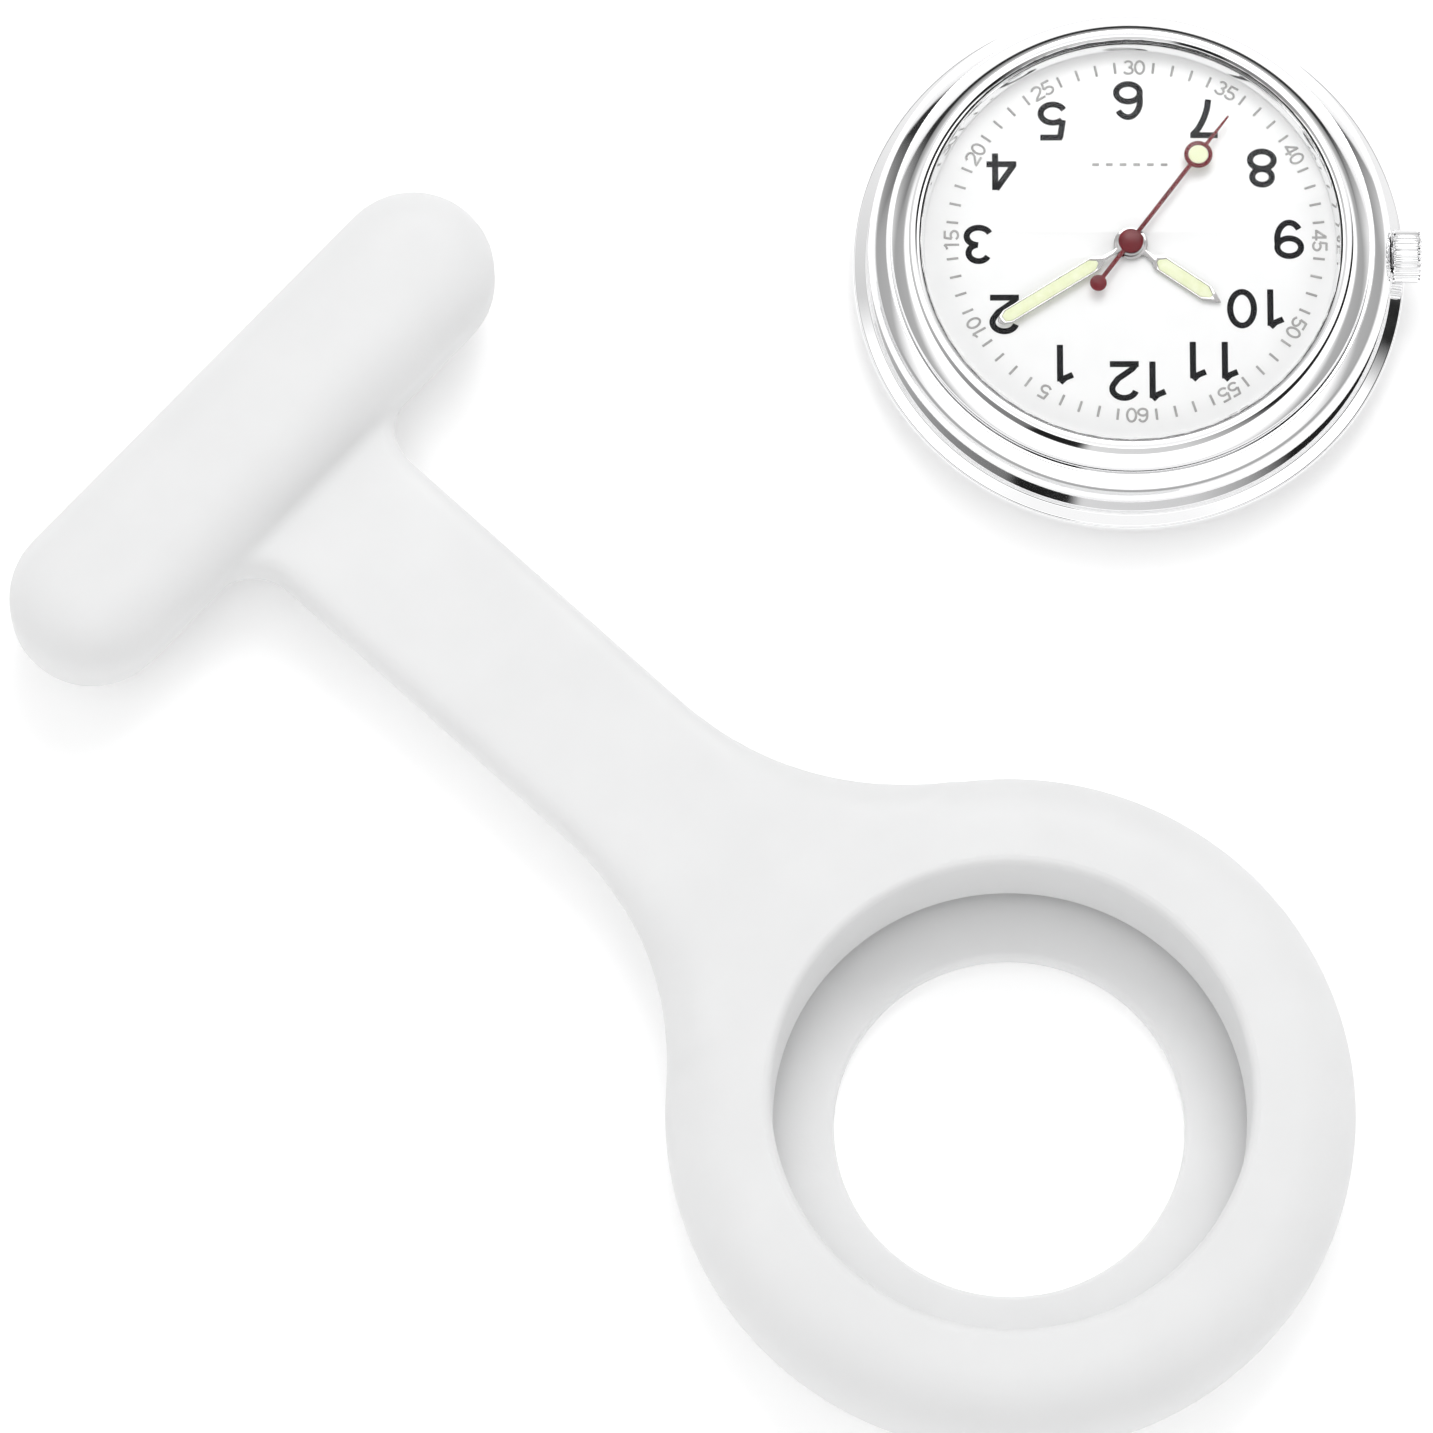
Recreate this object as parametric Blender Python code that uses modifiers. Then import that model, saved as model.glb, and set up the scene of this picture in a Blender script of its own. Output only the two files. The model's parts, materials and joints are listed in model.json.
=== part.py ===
"""Fob watch: a soft silicone holder with a brooch pin, and the round quartz watch that presses into its ring.

Blender 4.5 script, standalone. Sizes below are in millimetres and are turned into metres as they are used.
The holder and the watch lie face up on a table at z = 0, the watch beside the ring that it fits into.
"""

import math

import bmesh
import bpy
from mathutils import Matrix, Vector

MM = 0.001
MERGE = 1e-6  # metres, for Screw and Weld on parts this small

# ---- driving dimensions, millimetres and degrees ----

RING_R = 20.3  # outer radius of the silicone ring
RING_TOP = 8.4
RING_LIP_R = 14.1  # mouth of the pocket
RING_HOLE_R = 10.35  # hole through the pocket's floor
POCKET_FLOOR = 1.4
FLANGE_GROOVE_R = 16.9
FLANGE_GROOVE_TOP = 2.4

STRAP_HALF = 5.4
STRAP_LOW, STRAP_HIGH = 2.8, 5.8
STRAP_FLARE_R = 19.6  # concave fillet between strap and ring
STRAP_ROOT_R = 3.0  # fillet between strap and brooch bar
MOULD_GAP = 0.1  # between the three silicone solids

BAR_Y = 61.2  # from the ring's centre to the bar's centre line
BAR_LENGTH, BAR_WIDTH = 37.0, 9.5
BAR_LOW, BAR_HIGH = 2.2, 9.0
STRAP_HINGE_Y, STRAP_HINGE_Z = 40.0, 4.3

STRIP_HALF, STRIP_WIDTH = 14.6, 5.4  # the steel strip let into the bar's back
STRIP_LOW, STRIP_HIGH = 2.1, 2.6
PIN_X = 12.6  # the pin's rivet and its catch are this far each side of the middle
PIN_Z = 0.95
PIN_R = 0.35
EAR_Y = 1.05  # the hinge bracket's ears, from the pin
CATCH_R = 0.95
ROLLER_R = 0.60

WATCH_X, WATCH_Y = 44.3, 30.8  # the loose watch, from the ring's centre
WATCH_TURN = 132.8  # direction of 3 o'clock; 12 o'clock is 90 degrees on
SEAT_TURN = 47.2  # turn that brings the watch into the ring, 12 o'clock away from the bar

FLANGE_R = 16.6
FLANGE_LOW, FLANGE_HIGH = 1.5, 2.2
CASE_R = 15.5
CASE_TOP = 6.05
BEZEL_R = 14.3
BEZEL_OPENING_R = 12.65
BEZEL_TOP = 7.3
CASE_INSIDE_R = 13.55
BACK_R = 13.3
BACK_BOSS_R = 9.8
CRYSTAL_R = 12.55
DIAL_R = 13.05
DIAL_LOW, DIAL_HIGH = 5.45, 5.85
STEM_Z = 3.9

MINUTE_LENGTH, HOUR_LENGTH, SECOND_LENGTH = 9.4, 6.5, 9.9
HOUR_ANGLE, MINUTE_ANGLE, SECOND_ANGLE = 304.8, 57.6, 216.6  # clockwise from 12
HANDS_Z = {"hour": (6.02, 6.14), "minute": (6.28, 6.38), "second": (6.50, 6.58)}
SECOND_TAIL = 3.3
SECOND_LUME_Y, SECOND_LUME_R, SECOND_LUME_HOLE_R = 6.85, 0.85, 0.60

PLATE_R = 11.6
PLATE_LOW, PLATE_HIGH = 4.0, 4.7
BRIDGE_LOW, BRIDGE_HIGH = 2.0, 2.3

# The ring's centre is placed so that the origin is in the middle of the whole part's footprint.
RING_X = -(WATCH_X + FLANGE_R - RING_R) / 2
RING_Y = -(BAR_Y + BAR_WIDTH / 2 - RING_R) / 2

COARSE, MEDIUM, FINE = 12, 24, 48  # steps round a small, middling and large circle

for leftover in list(bpy.data.objects):
    bpy.data.objects.remove(leftover, do_unlink=True)

PARTS = bpy.data.collections.new("fob_watch")
CUTTERS = bpy.data.collections.new("cutters")
bpy.context.scene.collection.children.link(PARTS)
bpy.context.scene.collection.children.link(CUTTERS)


# ---- materials ----

FINISHES = {  # colour, roughness, metallic
    "silicone": ((0.86, 0.87, 0.88), 0.55, 0.0),
    "chrome": ((0.80, 0.80, 0.81), 0.06, 1.0),
    "steel": ((0.60, 0.60, 0.61), 0.30, 1.0),
    "brass": ((0.72, 0.53, 0.24), 0.30, 1.0),
    "copper": ((0.62, 0.27, 0.13), 0.35, 1.0),
    "dial": ((0.90, 0.90, 0.88), 0.40, 0.0),
    "lume": ((0.80, 0.84, 0.55), 0.60, 0.0),
    "red": ((0.25, 0.01, 0.02), 0.25, 0.0),
    "crystal": ((0.95, 0.97, 0.98), 0.02, 0.0),
    "rubber": ((0.03, 0.03, 0.03), 0.60, 0.0),
    "white_plastic": ((0.80, 0.80, 0.76), 0.45, 0.0),
    "board": ((0.02, 0.14, 0.06), 0.45, 0.0),
    "black_resin": ((0.01, 0.01, 0.01), 0.35, 0.0),
}


def material_for(node, finish):
    """Each node's own material, from the list of finishes."""
    colour, roughness, metallic = FINISHES[finish]
    made = bpy.data.materials.new(node)
    made.use_nodes = True
    shader = made.node_tree.nodes["Principled BSDF"]
    shader.inputs["Base Color"].default_value = (*colour, 1)
    shader.inputs["Roughness"].default_value = roughness
    shader.inputs["Metallic"].default_value = metallic
    if finish == "crystal":
        shader.inputs["Transmission Weight"].default_value = 1
    return made


# ---- placing ----


def frame_at(name, x, y, z=0.0, turn=0.0, parent=None):
    """An empty that carries pieces: its place in millimetres, turned about Z."""
    empty = bpy.data.objects.new(name, None)
    PARTS.objects.link(empty)
    empty.parent = parent
    empty.location = Vector((x, y, z)) * MM
    empty.rotation_euler.z = math.radians(turn)
    return empty


def piece(name, mesh, finish, parent, at=(0, 0, 0)):
    """A named sub-part with its own material."""
    obj = bpy.data.objects.new(name, mesh)
    PARTS.objects.link(obj)
    obj.parent = parent
    obj.location = Vector(at) * MM
    obj.data.materials.append(material_for(name, finish))
    return obj


def helper(target, mesh):
    """A hidden object at the target's place, for its Boolean modifiers."""
    obj = bpy.data.objects.new(target.name + "_cutter", mesh)
    CUTTERS.objects.link(obj)
    obj.parent = target.parent
    obj.location = target.location
    obj.rotation_euler = target.rotation_euler
    obj.hide_render = True
    obj.display_type = "WIRE"
    return obj


def boolean(target, mesh, operation):
    modifier = target.modifiers.new(operation.lower(), "BOOLEAN")
    modifier.operation = operation
    modifier.object = helper(target, mesh)
    return target


def cut(target, *meshes):
    for mesh in meshes:
        boolean(target, mesh, "DIFFERENCE")
    return target


def join(target, *meshes):
    for mesh in meshes:
        boolean(target, mesh, "UNION")
    return target


def soften(obj, width, segments=2):
    """Rounds an object's sharp edges, once its flat faces are whole."""
    work = bmesh.new()
    work.from_mesh(obj.data)
    bmesh.ops.dissolve_limit(work, angle_limit=0.001, verts=work.verts, edges=work.edges)
    work.to_mesh(obj.data)
    work.free()
    bevel = obj.modifiers.new("rounded", "BEVEL")
    bevel.width = width * MM
    bevel.segments = segments
    bevel.limit_method = "ANGLE"
    bevel.angle_limit = math.radians(40)
    return obj


# ---- shapes, all in millimetres ----


def finished(mesh):
    mesh.shade_smooth()
    mesh.set_sharp_from_angle(angle=math.radians(35))
    return mesh


def mesh_from(work, name):
    mesh = bpy.data.meshes.new(name)
    work.to_mesh(mesh)
    work.free()
    return finished(mesh)


def box(low, high):
    """A block between two corners."""
    low, high = Vector(low) * MM, Vector(high) * MM
    work = bmesh.new()
    bmesh.ops.create_cube(work, size=1)
    bmesh.ops.scale(work, vec=high - low, verts=work.verts)
    bmesh.ops.translate(work, vec=(low + high) / 2, verts=work.verts)
    return mesh_from(work, "block")


def rod(start, end, radius, steps=COARSE, end_radius=None):
    """A round bar, or a cone, from one point to another."""
    start, end = Vector(start) * MM, Vector(end) * MM
    along = end - start
    work = bmesh.new()
    bmesh.ops.create_cone(
        work,
        cap_ends=True,
        segments=steps,
        radius1=radius * MM,
        radius2=(radius if end_radius is None else end_radius) * MM,
        depth=along.length,
    )
    turn = Vector((0, 0, 1)).rotation_difference(along).to_matrix().to_4x4()
    work.transform(Matrix.Translation((start + end) / 2) @ turn)
    return mesh_from(work, "rod")


def disc(radius, low, high, steps=COARSE, centre=(0, 0)):
    return rod((*centre, low), (*centre, high), radius, steps)


def arc(radius, start, end, steps, centre=(0, 0)):
    """Points along an arc, with its angles in degrees."""
    angles = [math.radians(start + (end - start) * i / steps) for i in range(steps + 1)]
    return [(centre[0] + radius * math.cos(a), centre[1] + radius * math.sin(a)) for a in angles]


def circle(radius, steps=COARSE, centre=(0, 0)):
    return arc(radius, 0, 360, steps, centre)[:-1]


def plate(loops, low, high):
    """A flat outline of one thickness; loops after the first are its holes."""
    curve = bpy.data.curves.new("outline", "CURVE")
    curve.dimensions = "2D"
    curve.fill_mode = "BOTH"
    curve.extrude = (high - low) / 2 * MM
    for loop in loops:
        spline = curve.splines.new("POLY")
        spline.points.add(len(loop) - 1)
        for point, (x, y) in zip(spline.points, loop):
            point.co = (x * MM, y * MM, 0, 1)
        spline.use_cyclic_u = True
    source = bpy.data.objects.new("outline", curve)
    CUTTERS.objects.link(source)
    seen = source.evaluated_get(bpy.context.evaluated_depsgraph_get())
    mesh = bpy.data.meshes.new_from_object(seen)
    bpy.data.objects.remove(source)
    work = bmesh.new()
    work.from_mesh(mesh)
    bmesh.ops.remove_doubles(work, verts=work.verts, dist=MERGE)
    bmesh.ops.translate(work, vec=(0, 0, (low + high) / 2 * MM), verts=work.verts)
    bmesh.ops.recalc_face_normals(work, faces=work.faces)
    return mesh_from(work, "plate")


def turned(name, profile, finish, parent, steps=FINE, at=(0, 0, 0)):
    """A lathe shape from (radius, height) points, down its outer side; a profile off the axis is closed."""
    work = bmesh.new()
    points = [work.verts.new((r * MM, 0, z * MM)) for r, z in profile]
    for first, second in zip(points, points[1:]):
        work.edges.new((first, second))
    if profile[0][0] > 0:
        work.edges.new((points[-1], points[0]))
    mesh = bpy.data.meshes.new(name)
    work.to_mesh(mesh)
    work.free()
    obj = piece(name, mesh, finish, parent, at)
    screw = obj.modifiers.new("turned", "SCREW")
    screw.steps = screw.render_steps = steps
    screw.use_merge_vertices = True
    screw.merge_threshold = MERGE
    return obj


def washer(name, inner, outer, low, high, finish, parent, steps=FINE):
    profile = [(outer, high), (outer, low), (inner, low), (inner, high)]
    return turned(name, profile, finish, parent, steps)


def aside(mesh, turn):
    """The mesh turned about Z, in degrees."""
    mesh.transform(Matrix.Rotation(math.radians(turn), 4, "Z"))
    return mesh


# ---- the silicone holder ----

ring_frame = frame_at("ring_frame", RING_X, RING_Y)
bar_frame = frame_at("bar_frame", RING_X, RING_Y + STRAP_HINGE_Y, STRAP_HINGE_Z)


def silicone_ring():
    """The ring: a rounded outside, a deep straight-sided pocket and a groove for the watch's flange."""
    side = 3.9
    crown = arc(side, 90, 0, 4, (RING_R - side, RING_TOP - side))
    base = arc(side - 0.6, 0, -90, 3, (RING_R - side + 0.6, side - 0.6))
    lip = 0.5
    lip_edge = arc(lip, 180, 90, 2, (RING_LIP_R + lip, RING_TOP - lip - 0.1))
    inside = [
        (RING_HOLE_R, 0),
        (RING_HOLE_R, POCKET_FLOOR),
        (FLANGE_GROOVE_R, POCKET_FLOOR),
        (FLANGE_GROOVE_R, FLANGE_GROOVE_TOP),
        (RING_LIP_R - 0.15, FLANGE_GROOVE_TOP + 0.1),
    ]
    turned("silicone_ring", crown + base + inside + lip_edge, "silicone", ring_frame)


def silicone_strap():
    """The strap, flared by a fillet that is tangent to the ring, and by a small one at the bar."""
    flare_x = STRAP_HALF + STRAP_FLARE_R
    flare_y = math.sqrt((RING_R + STRAP_FLARE_R) ** 2 - flare_x**2)
    tangent = math.degrees(math.atan2(flare_y, flare_x))
    edge_y = BAR_Y - BAR_WIDTH / 2 - MOULD_GAP
    ring_edge = arc(RING_R + MOULD_GAP, 90, tangent + 2, 6)
    flare = arc(STRAP_FLARE_R, tangent + 180 + 2, 180, 6, (flare_x, flare_y))
    root = arc(STRAP_ROOT_R, 180, 100, 3, (STRAP_HALF + STRAP_ROOT_R, edge_y - STRAP_ROOT_R))
    half = ring_edge + flare + root
    half.append((half[-1][0], edge_y))
    whole = half + [(-x, y) for x, y in reversed(half) if x > 1e-6]
    strap = piece("silicone_strap", plate([whole], STRAP_LOW, STRAP_HIGH), "silicone", ring_frame)
    soften(strap, 0.5)


def silicone_bar():
    """The brooch bar: a rounded capsule with a recess in its back for the steel strip."""
    reach = (BAR_LENGTH - BAR_WIDTH) / 2
    right = arc(BAR_WIDTH / 2, -90, 90, 8, (reach, 0))
    left = arc(BAR_WIDTH / 2, 90, 270, 8, (-reach, 0))
    y = BAR_Y - STRAP_HINGE_Y
    mesh = plate([right + left], BAR_LOW - STRAP_HINGE_Z, BAR_HIGH - STRAP_HINGE_Z)
    mesh.transform(Matrix.Translation((0, y * MM, 0)))
    bar = soften(piece("silicone_bar", mesh, "silicone", bar_frame), 2.6, 4)
    low = BAR_LOW - STRAP_HINGE_Z
    across, along = STRIP_WIDTH / 2 + 0.3, STRIP_HALF + 0.3
    cut(bar, box((-along, y - across, low - 1), (along, y + across, low + 0.5)))


# ---- the brooch pin, on the back of the bar ----

pin_frame = frame_at("pin_frame", PIN_X, BAR_Y - STRAP_HINGE_Y, PIN_Z - STRAP_HINGE_Z, parent=bar_frame)


def brooch():
    """A steel strip, a riveted pin on a hinge bracket, and a split catch with a rolling lock."""
    strip_low, strip_high = STRIP_LOW - PIN_Z, STRIP_HIGH - PIN_Z
    half = STRIP_WIDTH / 2
    strip = box((-PIN_X - STRIP_HALF, -half, strip_low), (STRIP_HALF - PIN_X, half, strip_high))
    soften(piece("brooch_strip", strip, "steel", pin_frame), 0.12, 1)

    foot_high = strip_low - 0.05
    foot = box((-1.5, -1.35, foot_high - 0.3), (1.5, 1.35, foot_high))
    bracket = piece("pin_hinge_bracket", foot, "steel", pin_frame)
    for side in (-1, 1):
        ear = rod((0, side * (EAR_Y - 0.2), 0), (0, side * (EAR_Y + 0.2), 0), 0.85)
        web = box((-0.8, side * EAR_Y - 0.2, 0), (0.8, side * EAR_Y + 0.2, foot_high - 0.1))
        join(bracket, ear, web)
    cut(bracket, rod((0, -2, 0), (0, 2, 0), 0.36))

    rivet = piece("pin_rivet", rod((0, -1.35, 0), (0, 1.35, 0), 0.3), "steel", pin_frame)
    for side in (-1, 1):
        join(rivet, rod((0, side * 1.3, 0), (0, side * 1.5, 0), 0.55))

    pin = piece("brooch_pin", rod((0, -0.45, 0), (0, 0.45, 0), 0.75, 16), "steel", pin_frame)
    tip = -2 * PIN_X - 1.0
    shank = rod((-0.5, 0, 0), (tip + 4.0, 0, 0), PIN_R)
    point = rod((tip + 4.1, 0, 0), (tip, 0, 0), PIN_R, end_radius=0.04)
    join(pin, shank, point)
    cut(pin, rod((0, -1, 0), (0, 1, 0), 0.36, 16))

    catch_x = -2 * PIN_X
    barrel = rod((catch_x - 0.9, 0, 0), (catch_x + 0.9, 0, 0), CATCH_R, 16)
    shell = piece("catch_bracket", barrel, "steel", pin_frame)
    join(shell, box((catch_x - 0.9, -1.2, 0.7), (catch_x + 1.6, 1.2, foot_high)))
    bore = rod((catch_x - 2, 0, 0), (catch_x + 2, 0, 0), ROLLER_R + 0.05, 16)
    mouth = box((catch_x - 2, -0.42, -2), (catch_x + 2, 0.42, 0))
    cut(shell, bore, mouth)

    lock = rod((-0.85, 0, 0), (1.9, 0, 0), ROLLER_R, 16)
    roller = piece("catch_roller", lock, "steel", pin_frame, (catch_x, 0, 0))
    roller.rotation_euler.z = math.pi
    join(roller, box((1.2, 0, -0.22), (1.9, 1.0, 0.22)))
    cut(roller, rod((-2, 0, 0), (3, 0, 0), PIN_R + 0.04, 16), box((-2, -1, -0.39), (3, 0, 0.39)))


silicone_ring()
silicone_strap()
silicone_bar()
brooch()


# ---- the watch's case ----

pivot_turn = math.radians(SEAT_TURN)
moved_x = WATCH_X * math.cos(pivot_turn) - WATCH_Y * math.sin(pivot_turn)
moved_y = WATCH_X * math.sin(pivot_turn) + WATCH_Y * math.cos(pivot_turn)
PIVOT = (complex(-moved_x, -moved_y)) / (1 - complex(math.cos(pivot_turn), math.sin(pivot_turn)))
seat = frame_at("seat_pivot", RING_X + PIVOT.real, RING_Y + PIVOT.imag)
watch = frame_at("watch_frame", WATCH_X - PIVOT.real, WATCH_Y - PIVOT.imag, turn=WATCH_TURN, parent=seat)


def case():
    """The middle of the case, with its flange, and the bezel, crystal, back and seals that close it."""
    outside = [
        (BEZEL_R + 0.05, CASE_TOP),
        (14.97, 5.58),
        (15.38, 5.08),
        (CASE_R, 4.5),
        (CASE_R, FLANGE_HIGH + 0.1),
        (CASE_R + 0.1, FLANGE_HIGH),
        (FLANGE_R - 0.15, FLANGE_HIGH),
        (FLANGE_R, FLANGE_HIGH - 0.2),
        (FLANGE_R, FLANGE_LOW + 0.2),
        (FLANGE_R - 0.2, FLANGE_LOW),
    ]
    inside = [
        (BACK_R + 0.1, FLANGE_LOW),
        (BACK_R + 0.1, 2.75),
        (12.6, 2.75),
        (12.6, 3.15),
        (CASE_INSIDE_R, 3.15),
        (CASE_INSIDE_R, 5.75),
        (BEZEL_R + 0.05, 5.75),
    ]
    body = turned("case_body", outside + inside, "chrome", watch)
    cut(body, rod((-12, 0, STEM_Z), (-18, 0, STEM_Z), 0.78))

    bezel = [
        (BEZEL_OPENING_R + 0.35, BEZEL_TOP),
        (13.4, 7.1),
        (BEZEL_R, 6.4),
        (BEZEL_R, 5.8),
        (13.15, 5.8),
        (13.15, 7.0),
        (BEZEL_OPENING_R, 7.0),
        (BEZEL_OPENING_R, BEZEL_TOP - 0.12),
    ]
    turned("bezel", bezel, "chrome", watch)
    dome = [
        (0, 7.7),
        (5.0, 7.64),
        (9.5, 7.48),
        (CRYSTAL_R - 0.2, 7.3),
        (CRYSTAL_R, 7.15),
        (CRYSTAL_R, 6.78),
        (0, 6.78),
    ]
    turned("crystal", dome, "crystal", watch)
    washer("crystal_gasket", 12.6, 13.1, 6.47, 6.95, "rubber", watch)
    washer("rehaut_ring", 12.3, DIAL_R, 5.9, 6.42, "chrome", watch)

    back = [
        (0, 0.5),
        (9.2, 0.5),
        (9.2, 2.15),
        (BACK_R, 2.15),
        (BACK_R, 1.45),
        (BACK_BOSS_R, 1.45),
        (BACK_BOSS_R, 0.25),
        (BACK_BOSS_R - 0.25, 0),
        (0, 0),
    ]
    turned("case_back", back, "steel", watch)
    washer("case_back_gasket", 12.75, BACK_R, 2.2, 2.7, "rubber", watch)

    tube = piece("crown_tube", rod((-13.3, 0, STEM_Z), (-16.3, 0, STEM_Z), 0.72), "steel", watch)
    cut(tube, rod((-12, 0, STEM_Z), (-18, 0, STEM_Z), 0.36))

    spacer = washer("movement_spacer", PLATE_R + 0.15, CASE_INSIDE_R - 0.1, 3.2, 5.4, "white_plastic", watch)
    cut(spacer, box((-15, -0.85, 3.0), (-10, 0.85, 4.75)))


# ---- dial and hands ----

def dial():
    disc_mesh = plate([circle(DIAL_R, FINE), circle(0.7)], DIAL_LOW, DIAL_HIGH)
    face = piece("dial", disc_mesh, "dial", watch)
    for side in (-1, 1):
        join(face, disc(0.35, 4.75, DIAL_LOW + 0.1, centre=(8.5 * side, 6.0 * side)))


def blade_outline(hub, blade):
    """A hand's outline: a round hub, then a blade through (distance, half width) points, both sides alike."""
    start = math.degrees(math.acos(blade[0][1] / hub))
    side = arc(hub, -90, start, 6) + [(w, y) for y, w in blade[1:]]
    return side + [(-x, y) for x, y in reversed(side) if x > 1e-6]


def hand(name, hub, hole, blade, window, angle, layer, rides):
    """A hand with a slot through its blade that holds a strip of luminous paint."""
    low, high = HANDS_Z[layer]
    slot = [(w, y) for y, w in window] + [(-w, y) for y, w in reversed(window) if w > 0]
    middle = (window[0][0] + window[-1][0]) / 2
    paint = [(x * 0.9, middle + (y - middle) * 0.97) for x, y in slot]
    body = plate([blade_outline(hub, blade), circle(hole), slot], low, high)
    strip = plate([paint], low, high)
    piece(name, aside(body, -angle), "chrome", rides)
    piece(name + "_lume", aside(strip, -angle), "lume", rides)


def second_hand(rides):
    """A needle with a luminous ring near its point, a round counterweight and a centre cap."""
    low, high = HANDS_Z["second"]
    side = [(0.13, -SECOND_TAIL), (0.13, SECOND_LUME_Y), (0.05, SECOND_LENGTH)]
    needle = side + [(-x, y) for x, y in reversed(side)]
    body = piece("second_hand", aside(plate([needle], low, high), -SECOND_ANGLE), "red", rides)
    for radius, y in ((0.5, -SECOND_TAIL), (0.55, 0), (SECOND_LUME_R, SECOND_LUME_Y)):
        join(body, aside(disc(radius, low, high, MEDIUM, (0, y)), -SECOND_ANGLE))
    cut(body, disc(0.14, low - 1, high + 1))
    cut(body, aside(disc(SECOND_LUME_HOLE_R, low - 1, high + 1, MEDIUM, (0, SECOND_LUME_Y)), -SECOND_ANGLE))
    lume = aside(disc(SECOND_LUME_HOLE_R - 0.04, low, high, MEDIUM, (0, SECOND_LUME_Y)), -SECOND_ANGLE)
    piece("second_hand_lume", lume, "lume", rides)
    cap = [(0, 6.72), (0.5, 6.71), (0.75, 6.66), (0.75, 6.60), (0, 6.60)]
    turned("second_hand_cap", cap, "red", rides, MEDIUM)


def hands():
    hour_blade = [(0, 0.17), (1.6, 0.17), (2.1, 0.50), (5.5, 0.50), (HOUR_LENGTH, 0)]
    hour_window = [(2.3, 0.41), (5.4, 0.41)]
    hand("hour_hand", 1.0, 0.6, hour_blade, hour_window, HOUR_ANGLE, "hour", watch)
    minute_blade = [(0, 0.15), (1.9, 0.15), (2.5, 0.47), (8.75, 0.47), (MINUTE_LENGTH, 0)]
    minute_window = [(2.75, 0.38), (8.65, 0.38)]
    hand("minute_hand", 0.85, 0.37, minute_blade, minute_window, MINUTE_ANGLE, "minute", watch)
    second_hand(watch)


# ---- gears ----

TOOTH_HEIGHT = 0.8  # of the module, above and below the pitch circle


def gear(teeth, module, phase):
    """A gear's outline, with its first tooth at the phase angle in degrees."""
    pitch = module * teeth / 2
    tip, root = pitch + TOOTH_HEIGHT * module, pitch - (TOOTH_HEIGHT + 0.2) * module
    step = 360 / teeth
    points = []
    for tooth in range(teeth):
        middle = phase + tooth * step
        for radius, offset in ((root, -0.30), (tip, -0.12), (tip, 0.12), (root, 0.30)):
            angle = math.radians(middle + offset * step)
            points.append((radius * math.cos(angle), radius * math.sin(angle)))
    return points


def meshed(phase, teeth, direction, other_teeth):
    """The phase of a gear that meshes with one of known phase, lying from it in the given direction."""
    return direction + 180 - 180 / other_teeth + (direction - phase) * teeth / other_teeth


def polar(radius, angle, origin=(0.0, 0.0)):
    turn = math.radians(angle)
    return (origin[0] + radius * math.cos(turn), origin[1] + radius * math.sin(turn))


THIRD_DIRECTION, FIFTH_DIRECTION, ROTOR_DIRECTION, MINUTE_WHEEL_DIRECTION = 60, 200, 250, 150
CENTRE_TEETH, THIRD_TEETH, FOURTH_TEETH, FIFTH_TEETH = 45, 48, 30, 36
HOUR_TEETH, MINUTE_WHEEL_TEETH = 32, 24
LEAVES, CANNON_LEAVES = 6, 8
TRAIN_DISTANCE = 4.0
THIRD_MODULE = 2 * TRAIN_DISTANCE / (LEAVES + THIRD_TEETH)
CENTRE_MODULE = 2 * TRAIN_DISTANCE / (LEAVES + CENTRE_TEETH)
FOURTH_MODULE, FIFTH_MODULE = 0.16, 0.12
MOTION_DISTANCE = 3.12
CANNON_MODULE = 2 * MOTION_DISTANCE / (CANNON_LEAVES + MINUTE_WHEEL_TEETH)
HOUR_MODULE = 2 * MOTION_DISTANCE / (CANNON_LEAVES + HOUR_TEETH)
FIFTH_DISTANCE = FOURTH_MODULE * (LEAVES + FOURTH_TEETH) / 2
ROTOR_DISTANCE = FIFTH_MODULE * (LEAVES + FIFTH_TEETH) / 2
THIRD_AT = polar(TRAIN_DISTANCE, THIRD_DIRECTION)
FIFTH_AT = polar(FIFTH_DISTANCE, FIFTH_DIRECTION)
ROTOR_AT = polar(ROTOR_DISTANCE, ROTOR_DIRECTION, FIFTH_AT)
MINUTE_WHEEL_AT = polar(MOTION_DISTANCE, MINUTE_WHEEL_DIRECTION)


def wheel(name, at, wheel_gear, wheel_z, pinion_gear, pinion_z, arbor, finish="brass"):
    """A toothed wheel and its pinion on one arbor, at a place on the movement."""
    obj = piece(name, plate([wheel_gear], *wheel_z), finish, watch, (*at, 0))
    if pinion_gear:
        join(obj, plate([pinion_gear], *pinion_z))
    radius, low, high = arbor
    return join(obj, disc(radius, low, high))


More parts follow.
